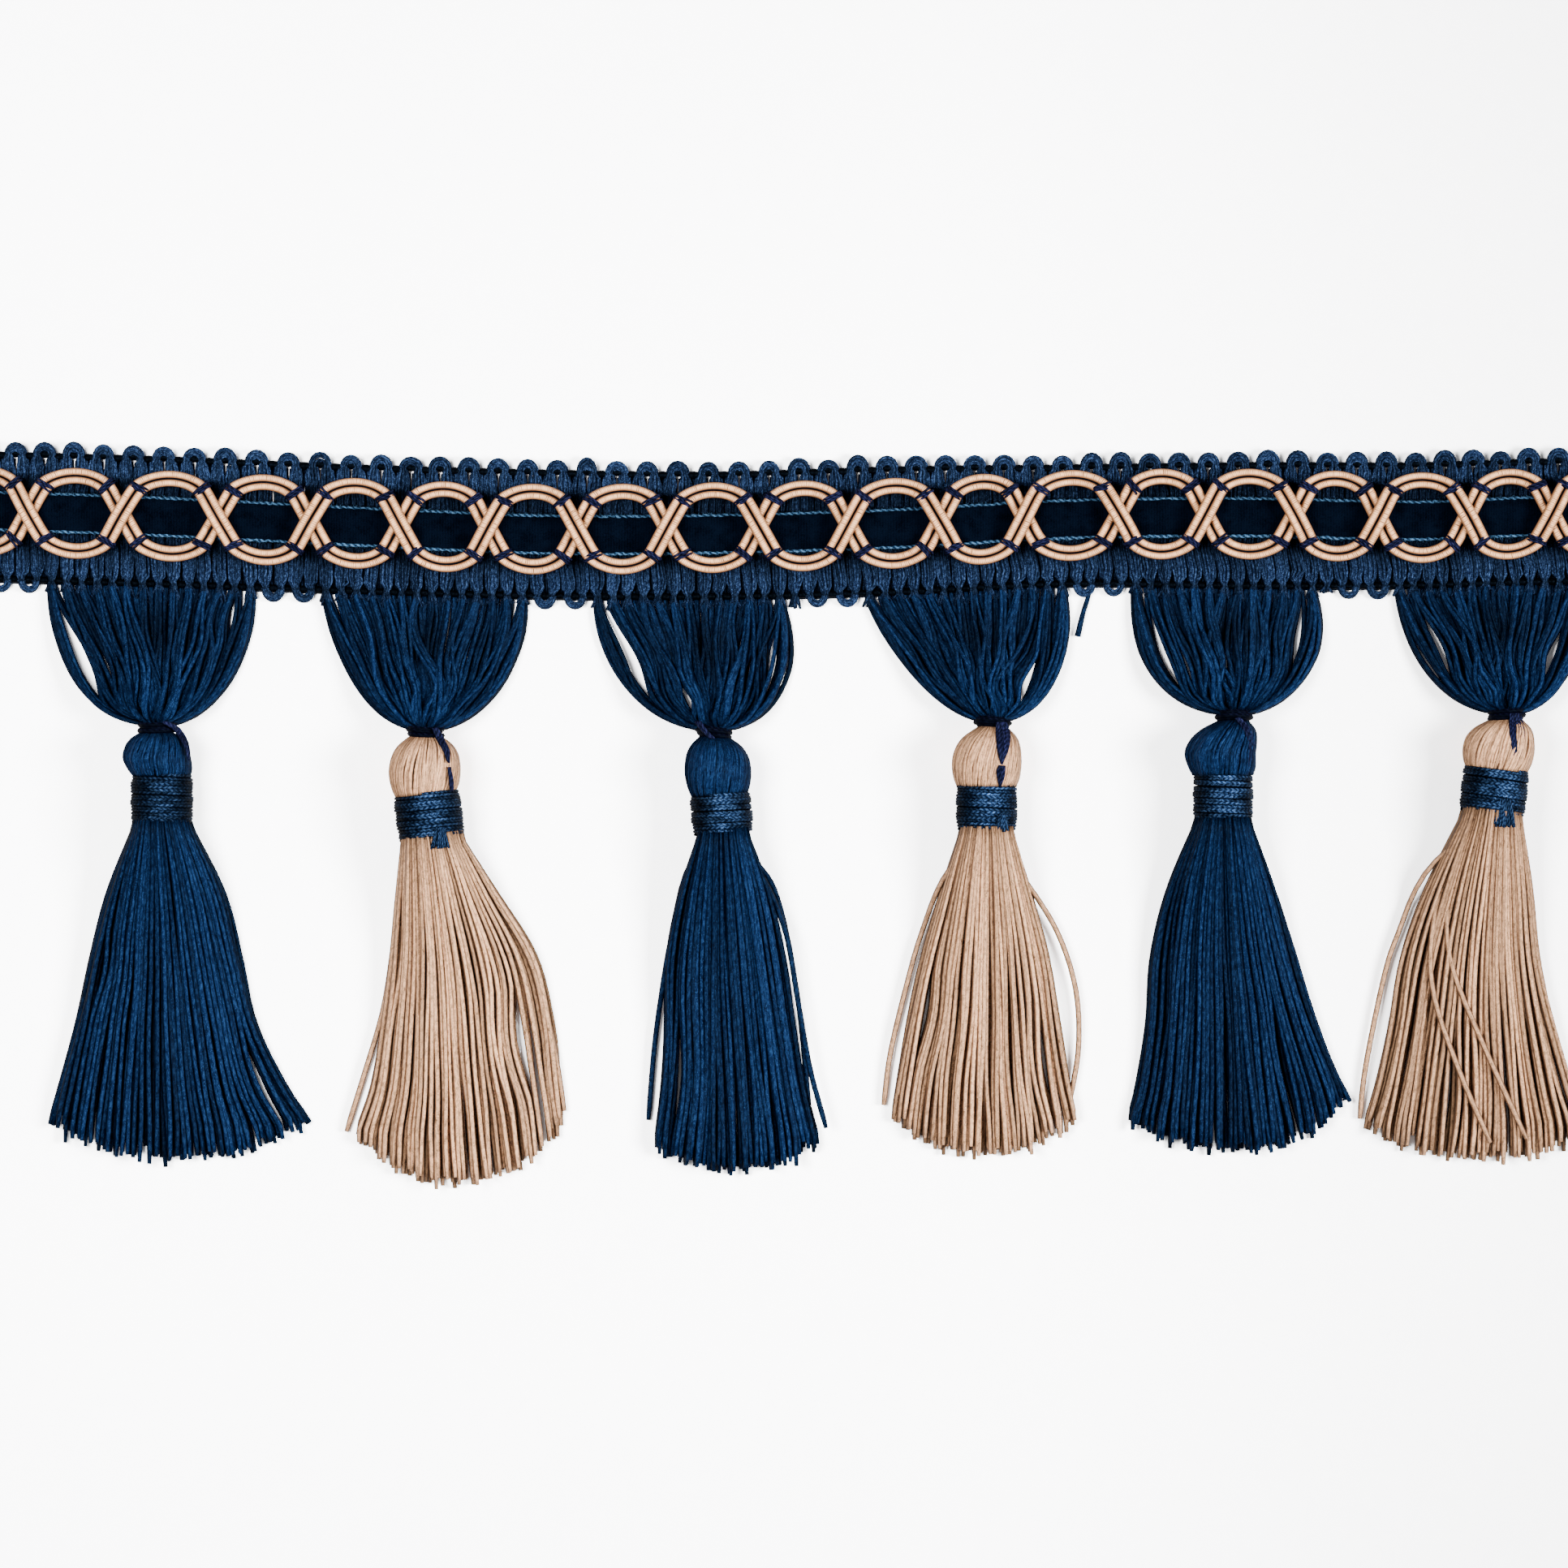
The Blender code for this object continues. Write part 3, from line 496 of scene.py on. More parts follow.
def yarn_material(name, colours, plies=2, pitch=2.2, fibre=(7.0, 1.3), twist=0.035, relief=0.05,
                  spread=(0.5, 1.4), shade=0.9, glint=0.8, roughness=0.5, gloss=(0.04, (0.4, 0.7, 1.0)),
                  fall=0.2, slope="SMOOTHSTEP", rim=None):
    """Spun yarn: plies twisted round each other, fine fibres along them, bright specks.

    The yarn's flanks are painted darker than its crest: painted shade where they lie against their
    neighbours. Its bright specks are painted glints.
    """
    shader = Shader(name)
    place = shader.add("ShaderNodeUVMap", uv_map="yarn").outputs[0]
    split = shader.add("ShaderNodeSeparateXYZ")
    shader.join(place, split.inputs[0])
    own = shader.add("ShaderNodeAttribute", attribute_name="strand").outputs["Fac"]
    own_far = shader.math("MULTIPLY", own, 60.0)
    around = shader.math("MULTIPLY", split.outputs[0], 2 * math.pi * plies)
    phase = shader.math("MULTIPLY_ADD", split.outputs[1], 2 * math.pi / pitch, around)
    phase = shader.math("ADD", phase, own_far)
    turns = shader.math("SINE", phase)
    mapping = shader.add("ShaderNodeMapping")
    mapping.inputs["Scale"].default_value = (fibre[0], fibre[1], 1.0)
    shader.join(place, mapping.inputs[0])
    fibres = shader.noise(mapping.outputs[0], 1.0, 3.0, own_far)
    # painted glints: bright specks of the light colour, scattered by noise
    specks = shader.noise(mapping.outputs[0], 3.1, 1.0, own_far)
    height = shader.math("MULTIPLY_ADD", turns, twist, fibres)
    deep, body, light = colours
    # colour follows the relief: the fibres' own tone, and painted shade in the grooves between the plies
    base = shader.ramp(height, ((0.22, deep), (0.50, body), (0.85, light)))
    bright = shader.ramp(specks, ((0.57, (0, 0, 0)), (0.66, (glint, glint, glint))))
    with_glints = shader.add("ShaderNodeMix", data_type="RGBA")
    shader.join(bright, with_glints.inputs[0])
    shader.join(base, with_glints.inputs[6])
    with_glints.inputs[7].default_value = (*light, 1.0)
    # painted shade: away from the crest the flanks turn to the deep colour, on the gimp through a
    # half-shade colour (rim)
    crest = shader.math("SINE", shader.math("MULTIPLY", split.outputs[0], 2 * math.pi))
    flank_shade = shader.add("ShaderNodeMapRange", interpolation_type=slope)
    flank_shade.inputs["From Min"].default_value = 1.0
    flank_shade.inputs["From Max"].default_value = fall
    flank_shade.inputs["To Max"].default_value = shade
    shader.join(crest, flank_shade.inputs["Value"])
    shaded = shader.add("ShaderNodeMix", data_type="RGBA")
    shader.join(flank_shade.outputs[0], shaded.inputs[0])
    shader.join(with_glints.outputs[2], shaded.inputs[6])
    shaded.inputs[7].default_value = (*deep, 1.0)
    if rim:
        shader.join(shader.ramp(crest, ((0.10, deep), (0.62, rim))), shaded.inputs[7])
    level = shader.add("ShaderNodeMapRange")
    level.inputs["To Min"].default_value = spread[0]
    level.inputs["To Max"].default_value = spread[1]
    shader.join(own, level.inputs["Value"])
    lit = shader.add("ShaderNodeAttribute", attribute_name="lit").outputs["Fac"]
    toned = shader.add("ShaderNodeHueSaturation")
    shader.join(shader.math("MULTIPLY", level.outputs[0], lit), toned.inputs["Value"])
    shader.join(shaded.outputs[2], toned.inputs["Color"])
    shader.join(toned.outputs[0], shader.surface.inputs["Base Color"])
    shader.bump(height, relief, 0.8)
    shader.set(Roughness=roughness, Specular_IOR_Level=gloss[0], Specular_Tint=(*gloss[1], 1.0))
    return shader.material


def velvet_material():
    """Cut pile: near black from above, a faint blue bloom and fine rows across it."""
    shader = Shader("velvet_pile")
    where = shader.add("ShaderNodeTexCoord").outputs["Object"]
    split = shader.add("ShaderNodeSeparateXYZ")
    shader.join(where, split.inputs[0])
    pile = shader.noise(where, 9000.0, 2.0)
    mottle = shader.noise(where, 500.0, 3.0)
    rows = shader.math("SINE", shader.math("MULTIPLY", split.outputs[0], 2 * math.pi / (0.38 * MM)))
    both = shader.math("MULTIPLY_ADD", mottle, 0.7, shader.math("MULTIPLY_ADD", rows, 0.07, pile))
    colour = shader.ramp(both, ((0.6, (0.0002, 0.0005, 0.0015)), (1.05, (0.0018, 0.0045, 0.012))))
    shader.join(colour, shader.surface.inputs["Base Color"])
    shader.bump(pile, 0.10, 0.8)
    shader.set(Roughness=0.95, Specular_IOR_Level=0.01, Specular_Tint=(0.3, 0.6, 1.0, 1.0))
    return shader.material


# Deep, body and light colour of each yarn. Deep is also the painted shade of the flanks and light the
# colour of the painted glints; the tan and gimp colours above one are painted highlight.
NAVY = ((0.0002, 0.0010, 0.005), (0.0036, 0.0118, 0.046), (0.018, 0.060, 0.165))
HEADING_NAVY = ((0.0004, 0.0010, 0.004), (0.0046, 0.0110, 0.037), (0.075, 0.145, 0.32))
TAN = ((0.090, 0.042, 0.024), (0.78, 0.43, 0.24), (1.50, 0.82, 0.44))
GIMP = ((0.060, 0.016, 0.004), (1.35, 0.70, 0.35), (1.90, 1.02, 0.53))
BLACK = ((0.0002, 0.0003, 0.0006), (0.0005, 0.0007, 0.0018), (0.004, 0.007, 0.015))
SATIN = ((0.0004, 0.0014, 0.006), (0.0048, 0.0145, 0.046), (0.048, 0.105, 0.23))
INDIGO = ((0.0006, 0.0008, 0.004), (0.0050, 0.0055, 0.026), (0.024, 0.028, 0.090))
EDGE_BLUE = ((0.002, 0.008, 0.022), (0.020, 0.060, 0.130), (0.08, 0.19, 0.34))
WARM = (0.45, (1.0, 0.62, 0.36))


def make_materials():
    """Every yarn and cloth of the trim."""
    return {
        "navy": yarn_material("navy_cotton", NAVY, glint=0.9, fall=0.3, shade=0.85),
        "heading": yarn_material("navy_weft", HEADING_NAVY, pitch=1.1, fibre=(4.0, 2.6), shade=0.85),
        "tan": yarn_material("tan_cotton", TAN, spread=(0.60, 1.25), glint=1.0, gloss=WARM, shade=0.85,
                             fall=0.40),
        "gimp": yarn_material("tan_gimp", GIMP, plies=1, pitch=0.28, fibre=(1.2, 4.0), twist=0.17,
                              relief=0.06, spread=(0.97, 1.03), shade=1.0, glint=0.5, gloss=WARM,
                              fall=0.72, slope="LINEAR", rim=(0.46, 0.215, 0.098)),
        "black": yarn_material("black_warp", BLACK, pitch=1.2),
        "satin": yarn_material("navy_satin", SATIN, pitch=0.7, fibre=(3.0, 1.2), twist=0.20, relief=0.08,
                               glint=1.0, roughness=0.45, shade=0.95, gloss=(0.025, (0.4, 0.7, 1.0))),
        "indigo": yarn_material("indigo_cord", INDIGO, pitch=0.8, twist=0.2),
        "edge": yarn_material("edge_cord", EDGE_BLUE, pitch=0.9, twist=0.35, fibre=(2.0, 3.0),
                              shade=0.5),
        "velvet": velvet_material(),
    }


def is_loop_valley(valley):
    """Whether the legs beside this valley turn back in a loop below."""
    return valley % ARCHES_PER_TASSEL in (1, 2)


def weft_routes(rng):
    """The serpentine weft: a foot, a leg, an arch and back down again."""
    routes, lit = [], []
    turns = np.linspace(0, math.pi, 9)
    for arch in range(ARCH_COUNT):
        middle = -HALF_LENGTH + (arch + 0.5) * ARCH_PITCH
        tall = TALL_ARCHES.get(arch, 0.0) + rng.normal(0, 0.12)
        drop = rng.uniform(0.6, 1.4, 2) * FOOT
        wide = rng.normal(0, 0.06)
        sway = rng.normal(0, 0.10, (2, len(LEGS)))
        for strand in range(WEFT_STRANDS):
            share = 2 * strand / (WEFT_STRANDS - 1) - 1
            level = 0.14 * (strand % 2) + rng.normal(0, 0.05)
            both = []
            for side, end in ((-1, 0), (1, 1)):
                foot = 0.35 if is_loop_valley(arch + end) else drop[end] * rng.uniform(0.8, 1.1)
                feet = (
                    Leg("lower", -foot, LEG_REACH, 0.86, 0.60, 0.55),
                    Leg("lower", -foot * 0.4, LEG_REACH, 0.46, 1.0, 0.6),
                )
                points = []
                for step, leg in enumerate((*feet, *LEGS)):
                    across = leg.middle + share * leg.spread + rng.normal(0, 0.06)
                    across += sway[end][step - 2] if 2 < step < len(LEGS) else 0
                    x = slide(leg.line, middle) + side * across
                    points.append((x, line_at(leg.line, x) + leg.offset, leg.z + level))
                both.append(points)
            radius = ARCH_RADIUS + wide + share * ARCH_SPREAD + rng.normal(0, 0.03)
            centre = slide("upper", middle)
            seat = line_at("upper", centre) - ARCH_SEAT
            stretch = ARCH_STRETCH + tall * 0.5
            arc = []
            for turn in turns:
                x = centre - radius * math.cos(turn)
                y = seat + radius * math.sin(turn) * stretch
                arc.append((x, y, 1.0 + 0.3 * math.sin(turn) + level))
            routes.append(both[0] + arc + both[1][::-1])
            # painted light and shade along the yarn: each foot's and leg's level, and the arch lighter
            # at its top
            levels = [leg.lit for leg in (*feet, *LEGS)]
            lit.append(levels + [0.75 + 0.2 * math.sin(turn) for turn in turns] + levels[::-1])
    return np.array(routes), np.array(lit)


def backing_routes(rng):
    """A flat lower layer of weft that closes the band between its legs."""
    routes = []
    for arch in range(ARCH_COUNT):
        middle = -HALF_LENGTH + (arch + 0.5) * ARCH_PITCH
        for side in (-1, 1):
            for share in np.linspace(-1, 1, 5):
                points = []
                for line, offset, spread in BACKING:
                    across = mix(LEG_REACH, 1.20, line == "upper" and offset > -3) + share * spread
                    x = slide(line, middle) + side * (across + rng.normal(0, 0.02))
                    points.append((x, line_at(line, x) + offset, 0.30))
                routes.append(points)
    return np.array(routes)


def loop_routes(rng):
    """Loops that close the weft below, where no tassel hangs."""
    routes = []
    turns = np.linspace(0, math.pi, 11)
    for valley in range(1, ARCH_COUNT):
        if not is_loop_valley(valley):
            continue
        middle = slide("lower", -HALF_LENGTH + valley * ARCH_PITCH)
        for strand in range(WEFT_STRANDS):
            share = 2 * strand / (WEFT_STRANDS - 1) - 1
            radius = 1.08 + share * 0.34 + rng.normal(0, 0.04)
            level = 0.14 * (strand % 2)
            seat = line_at("lower", middle) - 0.1
            points = [(middle - LEG_REACH - share * 0.2, seat + 1.0, 1.1 + level)]
            for turn in turns:
                x = middle - radius * math.cos(turn)
                y = seat - radius * math.sin(turn) * ARCH_STRETCH
                points.append((x, y, 1.0 - 0.15 * math.sin(turn) + level))
            points.append((middle + LEG_REACH + share * 0.2, seat + 1.0, 1.1 + level))
            routes.append(points)
    return np.array(routes)


def add_heading(materials):
    """Weft, its loops, and the two black warp cords that it is bound by."""
    rng = np.random.default_rng(11)
    routes, lit = weft_routes(rng)
    mesh = tubes("heading_weft", routes, WEFT_RADIUS, lit=lit)
    add_piece("heading_weft", mesh, materials["heading"], "navy_cotton", "heading_braid")
    # the backing drawn at a third of the light: painted shade under the weft
    mesh = tubes("heading_backing", backing_routes(rng), 0.27, 4, lit=0.35)
    add_piece("heading_backing", mesh, materials["heading"], "navy_cotton", "heading_braid")
    mesh = tubes("heading_loops", loop_routes(rng), WEFT_RADIUS)
    add_piece("heading_loops", mesh, materials["heading"], "navy_cotton", "heading_braid")
    even = np.arange(-HALF_LENGTH + 0.1, HALF_LENGTH - 0.05, 0.3)
    phase = 2 * math.pi * (even + HALF_LENGTH) / ARCH_PITCH
    z = 0.75 + 0.25 * np.cos(2 * phase)
    radius = 0.46 + 0.10 * np.cos(2 * phase)
    x = slide("upper", even)
    y = line_at("upper", x) - 0.42 - 0.18 * np.cos(phase)
    mesh = tubes("warp_upper", [np.stack((x, y, z), axis=-1)], [radius + 0.02], 8)
    add_piece("warp_upper", mesh, materials["black"], "navy_cotton", "heading_braid")
    x = slide("lower", even)
    y = line_at("lower", x)
    mesh = tubes("warp_lower", [np.stack((x, y, z), axis=-1)], [radius - 0.06], 8)
    add_piece("warp_lower", mesh, materials["black"], "navy_cotton", "heading_braid")


def add_ribbon(materials):
    """Velvet ribbon with a twisted cord along each edge and a few fibres off it."""
    rng = np.random.default_rng(12)
    x = np.linspace(-HALF_LENGTH, HALF_LENGTH, 240)
    middle = ribbon_middle(x)
    profile = ((-2.9, 1.5), (-2.85, 1.8), (-2.5, 2.1), (-2.3, 2.36), (-1.2, 2.47), (0.0, 2.5),
               (1.2, 2.47), (2.3, 2.36), (2.5, 2.1), (2.85, 1.8), (2.9, 1.5))
    lines = np.array([
        np.stack((x, middle + across, np.full_like(x, z)), axis=-1) for across, z in profile
    ])
    mesh = skin("ribbon_pile", lines)
    add_piece("ribbon_pile", mesh, materials["velvet"], "navy_velvet", "velvet_ribbon")
    x = np.arange(-HALF_LENGTH + 0.1, HALF_LENGTH, 0.35)
    routes = []
    for side in (-1, 1):
        y = ribbon_middle(x) + side * (2.62 + rng.normal(0, 0.04, len(x)))
        routes.append(np.stack((x, y, np.full_like(x, 2.15)), axis=-1))
    mesh = tubes("ribbon_edge", routes, rng.uniform(0.15, 0.29, (2, len(x))), 6)
    add_piece("ribbon_edge", mesh, materials["edge"], "navy_velvet", "velvet_ribbon")
    count = 2600
    side = rng.choice((-1.0, 1.0), count)
    root_x = rng.uniform(-HALF_LENGTH + 0.3, HALF_LENGTH - 0.3, count)
    reach = rng.uniform(0.15, 0.55, count)
    slant = rng.normal(0, 0.30, count)
    share = np.array((0.0, 0.5, 1.0))
    fx = root_x[:, None] + slant[:, None] * share
    fy = ribbon_middle(root_x)[:, None] + side[:, None] * (2.55 + reach[:, None] * share)
    fz = mix(2.3, 1.9, share) + rng.uniform(-0.1, 0.2, (count, 1))
    mesh = tubes("ribbon_fuzz", np.stack((fx, fy, fz), axis=-1), 0.045, 3)
    add_piece("ribbon_fuzz", mesh, materials["edge"], "navy_velvet", "velvet_ribbon")


def wave_centre(first_side, over):
    """Middle of a doubled gimp wave: places along the heading every 0.4 mm."""
    bow = (KNEE_X ** 2 + (APEX_RISE - KNEE_RISE) ** 2) / (2 * (APEX_RISE - KNEE_RISE))
    route = []
    for ring, (left, right) in enumerate(zip(CROSSINGS, CROSSINGS[1:])):
        side = first_side if ring % 2 else -first_side
        centre = (left + right) / 2
        stretch = (right - left) / RING_PITCH
        for x in np.linspace(-KNEE_X, KNEE_X, 25):
            rise = APEX_RISE - bow + math.sqrt(bow ** 2 - x * x)
            z = mix(ON_BAND, ON_RIBBON, (abs(x) / KNEE_X) ** 2)
            route.append((centre + x * stretch, side * rise, z))
        top = OVER_CROSSING if over else ON_RIBBON
        run = (RING_PITCH / 2 - KNEE_X) * stretch
        for share in np.linspace(-0.85, 0.85, 12):
            z = mix(top, ON_RIBBON, abs(share) ** 1.5)
            route.append((right + share * run, -side * share * KNEE_RISE, z))
    route = np.array(route)
    steps = np.linalg.norm(np.diff(route[:, :2], axis=0), axis=-1)
    length = np.concatenate(((0.0,), np.cumsum(steps)))
    even = np.arange(0, length[-1], 0.4)
    route = np.stack([np.interp(even, length, route[:, i]) for i in range(3)], axis=-1)
    kernel = np.array((1.0, 2.0, 1.0)) / 4
    for _ in range(5):
        for i in range(3):
            padded = np.pad(route[:, i], 1, mode="edge")
            route[:, i] = np.convolve(padded, kernel, mode="valid")
    return route


def beside(route, offset):
    """The route moved sideways across the table."""
    along = unit(np.gradient(route, axis=0) * (1, 1, 0))
    across = np.stack((-along[:, 1], along[:, 0], np.zeros(len(route))), axis=-1)
    return route + across * offset


def on_heading(route):
    """A route about the heading's middle, laid on its curve and cut at its ends."""
    route = route.copy()
    route[:, 1] += line_at("middle", route[:, 0])
    return route[np.abs(route[:, 0]) < HALF_LENGTH - 0.2]


def add_gimp(materials):
    """Four gimp cords, dark threads in their grooves, black to paint the shade between the cords, and
    stitches over their knees.
    """
    for wave, first_side, over in (("under", 1, False), ("over", -1, True)):
        centre = wave_centre(first_side, over)
        bend = np.clip((np.abs(centre[:, 1]) - KNEE_RISE + 0.5) / (APEX_RISE - KNEE_RISE), 0, 1)
        size = mix(1.0, ARC_SQUEEZE, bend)
        for number, side in ((1, 0.5), (2, -0.5)):
            route = beside(centre, side * PAIR_SPACING * size[:, None])
            radii = (GIMP_RADIUS * size)[np.abs(route[:, 0]) < HALF_LENGTH - 0.2]
            name = f"gimp_{wave}_{number}"
            mesh = tubes(name, [on_heading(route)], [radii], 12, lit=1.1)
            add_piece("cord_" + name, mesh, materials["gimp"], "tan_gimp", name)
        route = on_heading(centre)
        # a dark thread in each groove, black to paint the groove's shade
        mesh = tubes(f"groove_{wave}", [route - 0.15 * UP], 0.24, 5)
        add_piece(f"gimp_{wave}_groove", mesh, materials["black"], "indigo_cord")
    add_stitches(materials)


def add_stitches(materials):
    """Indigo thread over both cords at each knee, three turns side by side."""
    rng = np.random.default_rng(13)
    routes = []
    over_pair = np.linspace(-1, 1, 9)
    for left, right in zip(CROSSINGS, CROSSINGS[1:]):
        centre = (left + right) / 2
        stretch = (right - left) / RING_PITCH
        for side in (-1, 1):
            for end in (-1, 1):
                x = centre + end * KNEE_X * stretch
                if abs(x) > HALF_LENGTH - 1.5:
                    continue
                angle = math.radians(end * side * (32.0 + rng.normal(0, 6)))
                across = np.array((math.cos(angle), math.sin(angle)))
                down = np.array((-across[1], across[0]))
                for turn in (-1, 0, 1):
                    tilt = rng.normal(0, 0.08)
                    shift = turn * 0.31
                    points = []
                    for share in over_pair:
                        place = across * share * 1.30 + down * (shift + tilt * share)
                        px = x + place[0]
                        py = line_at("middle", x) + side * (KNEE_RISE - 0.05) + place[1]
                        z = ON_RIBBON + GIMP_RADIUS + 0.14 - 0.9 * abs(share) ** 6
                        points.append((px, py, z))
                    routes.append(points)
    mesh = tubes("knee_stitches", np.array(routes), 0.18, 6)
    add_piece("knee_stitches", mesh, materials["indigo"], "indigo_cord")


def hanger_ends(hanger, head, spread):
    """The four points of each hanger yarn's curve, from the neck up to the heading."""
    x = mix(hanger.left, hanger.right, (spread + 1) / 2)
    top_y = line_at("lower", x) - 0.9
    neck_x = head.neck_x + spread * NECK_RADIUS * 0.84
    neck_y = np.full_like(x, head.top + 1.0)
    roundness = np.where(spread < 0, hanger.round_left, hanger.round_right)
    belly = np.where(spread < 0, -hanger.belly_left, hanger.belly_right)
    inner = 1 - spread ** 2
    below = (mix(x, neck_x, 0.30 * inner) + belly * np.abs(spread), mix(top_y, neck_y, 0.47))
    above = (mix(neck_x, x, roundness * (1 - 0.35 * inner)), mix(neck_y, top_y, 0.08))
    return (neck_x, neck_y), above, below, (x, top_y)


def parted(partings, number, x, spread, share):
    """The yarns' places moved apart where a tassel shows what is behind it."""
    for parting in partings:
        if parting.tassel != number:
            continue
        place = np.clip((share - parting.low) / (parting.high - parting.low), 0, 1)
        bump = np.sin(math.pi * place) ** 1.5
        side = math.copysign(1, parting.spread)
        inner = (parting.spread - spread) * side
        moved = np.where(inner > 0, np.exp(-inner / 0.35), 0.0)
        x = x - side * parting.width * moved[:, None] * bump
    return x


def add_hanger(number, materials):
    """The gathered yarns between the heading and a tassel's neck, in loose bundles."""
    rng = np.random.default_rng(20 + number)
    hanger, head = HANGERS[number - 1], HEADS[number - 1]
    bundles, points = 14, 30
    share = np.linspace(0, 1, points)[None, :]
    keep = 1 - share
    weights = (keep ** 3, 3 * keep * keep * share, 3 * keep * share * share, share ** 3)
    shares = (0.0, 0.22, 0.46, 0.72, 1.0)
    routes, radii = [], []
    layers = (
        (4, (3.2, 2.3, 1.1, 0.45, 0.45), (3.6, 2.6, 1.3, 0.6, 0.5), 0.45),
        (4, (4.6, 3.2, 1.7, 0.9, 0.7), (6.6, 5.0, 3.4, 2.3, 1.2), 0.37),
    )
    lit = []
    for layer, (each, low, high, thick) in enumerate(layers):
        count = bundles * each
        bundle = np.repeat(np.arange(bundles), each)
        place = np.tile(np.linspace(-1, 1, each), bundles)
        home = 2 * (bundle + 0.5) / bundles - 1
        width = mix(0.95, 0.70, layer)
        spread = home + place / bundles * width + rng.normal(0, 0.012, count)
        spread = np.clip(spread, -1, 1)
        ends = hanger_ends(hanger, head, spread)
        x = sum(weight * end[0][:, None] for weight, end in zip(weights, ends))
        y = sum(weight * end[1][:, None] for weight, end in zip(weights, ends))
        dome = np.sqrt(np.clip(1 - spread ** 2, 0, 1))
        bulk = np.repeat(rng.uniform(0, 1, bundles), each)
        level = mix(rng.uniform(0, 1, count), bulk, 0.45) * mix(1.0, dome, 0.5)
        near, far = smooth(shares, low, share[0]), smooth(shares, high, share[0])
        z = near + (far - near) * level[:, None]
        sides = 1 - 0.35 * (1 - np.abs(spread)[:, None]) * np.sin(math.pi * share) * layer
        z = np.maximum(z * sides, 0.50)
        top = hanger.left + (hanger.right - hanger.left) * (home + 1) / 2
        grid = top - (slide("lower", top) - top)
        leg = np.round((grid + HALF_LENGTH) / (ARCH_PITCH / 2) - 0.5) + 0.5
        pinch = leg * ARCH_PITCH / 2 - HALF_LENGTH
        pull = np.clip((share - 0.62) / 0.38, 0, 1) ** 1.3
        pulled = slide("lower", pinch) + place * mix(0.9, 0.3, layer) * (1 - 0.6 * home ** 4)
        x = x + (pulled - x[:, -1])[:, None] * pull
        loose = np.sin(math.pi * share) ** 0.8
        together = np.repeat(wander(rng, bundles, points, 3, 0.80), each, axis=0) * layer
        apart = wander(rng, count, points, 4, 0.15 + 0.34 * layer)
        x = x + (together + apart) * loose * (0.15 + 0.85 * dome[:, None])
        x = parted(PARTINGS, number, x, spread, share)
        closed = mix(head.neck_x, x[:, 0], 0.8)
        first = np.stack((closed, y[:, 0] - 1.3, mix(head.radius, z[:, 0], 0.8)), axis=-1)[:, None]
        last = np.stack((x[:, -1], y[:, -1] + 1.0, z[:, -1]), axis=-1)[:, None]
        routes.append(np.concatenate((first, np.stack((x, y, z), axis=-1), last), axis=1))
        sizes = np.interp(np.linspace(0, 1, points + 2), (0, 0.25, 0.8, 1), (0.34, thick, thick, 0.26))
        radii.append(sizes * rng.uniform(0.85, 1.1, (count, 1)))
        # painted shade: lower yarns darker, a dark hollow in the middle below the heading, and darker
        # next to the neck
        hollow_shade = np.exp(-((share - 0.76) / 0.18) ** 2) * np.exp(-((spread[:, None] - 0.05) / 0.6) ** 2)
        shown = mix(0.20 + 0.25 * layer, 1.2, level[:, None]) * (1 - mix(0.7, 0.6, layer) * hollow_shade)
        shown = shown * np.interp(share, (0, 0.07, 0.14), (0.45, 0.8, 1.0))
        lit.append(np.pad(shown, ((0, 0), (1, 1)), mode="edge"))
    mesh = tubes(
        f"hanger_yarns_{number}", np.concatenate(routes), np.concatenate(radii), lit=np.concatenate(lit)
    )
    add_piece(f"hanger_yarns_{number}", mesh, materials["navy"], "navy_cotton", f"hanger_{number}")


def wrap_place(wrap, reach):
    """Place on a wrap's own axis, in millimetres from its middle towards the head."""
    lean = math.radians(wrap.lean)
    return np.array((wrap.x - math.sin(lean) * reach, wrap.y + math.cos(lean) * reach, wrap.z))


def head_axis(head, wrap):
    """Axis places, leans and radii of the ball head, from its seat up to the neck."""
    seat = wrap_place(wrap, wrap.length / 2 - 0.3)
    widest = HEAD_PROFILE[2][0]
    shares = np.array([share for share, _ in HEAD_PROFILE])
    sizes = np.array([size for _, size in HEAD_PROFILE])
    x = np.where(
        shares < widest,
        mix(seat[0], head.x, shares / widest),
        mix(head.x, head.neck_x, np.clip((shares - widest) / (1 - widest), 0, 2) ** 1.6),
    )
    z = np.where(shares < widest, mix(seat[2], head.radius, shares / widest), head.radius)
    y = mix(seat[1], head.top, shares)
    return shares, x, y, z, sizes * head.radius


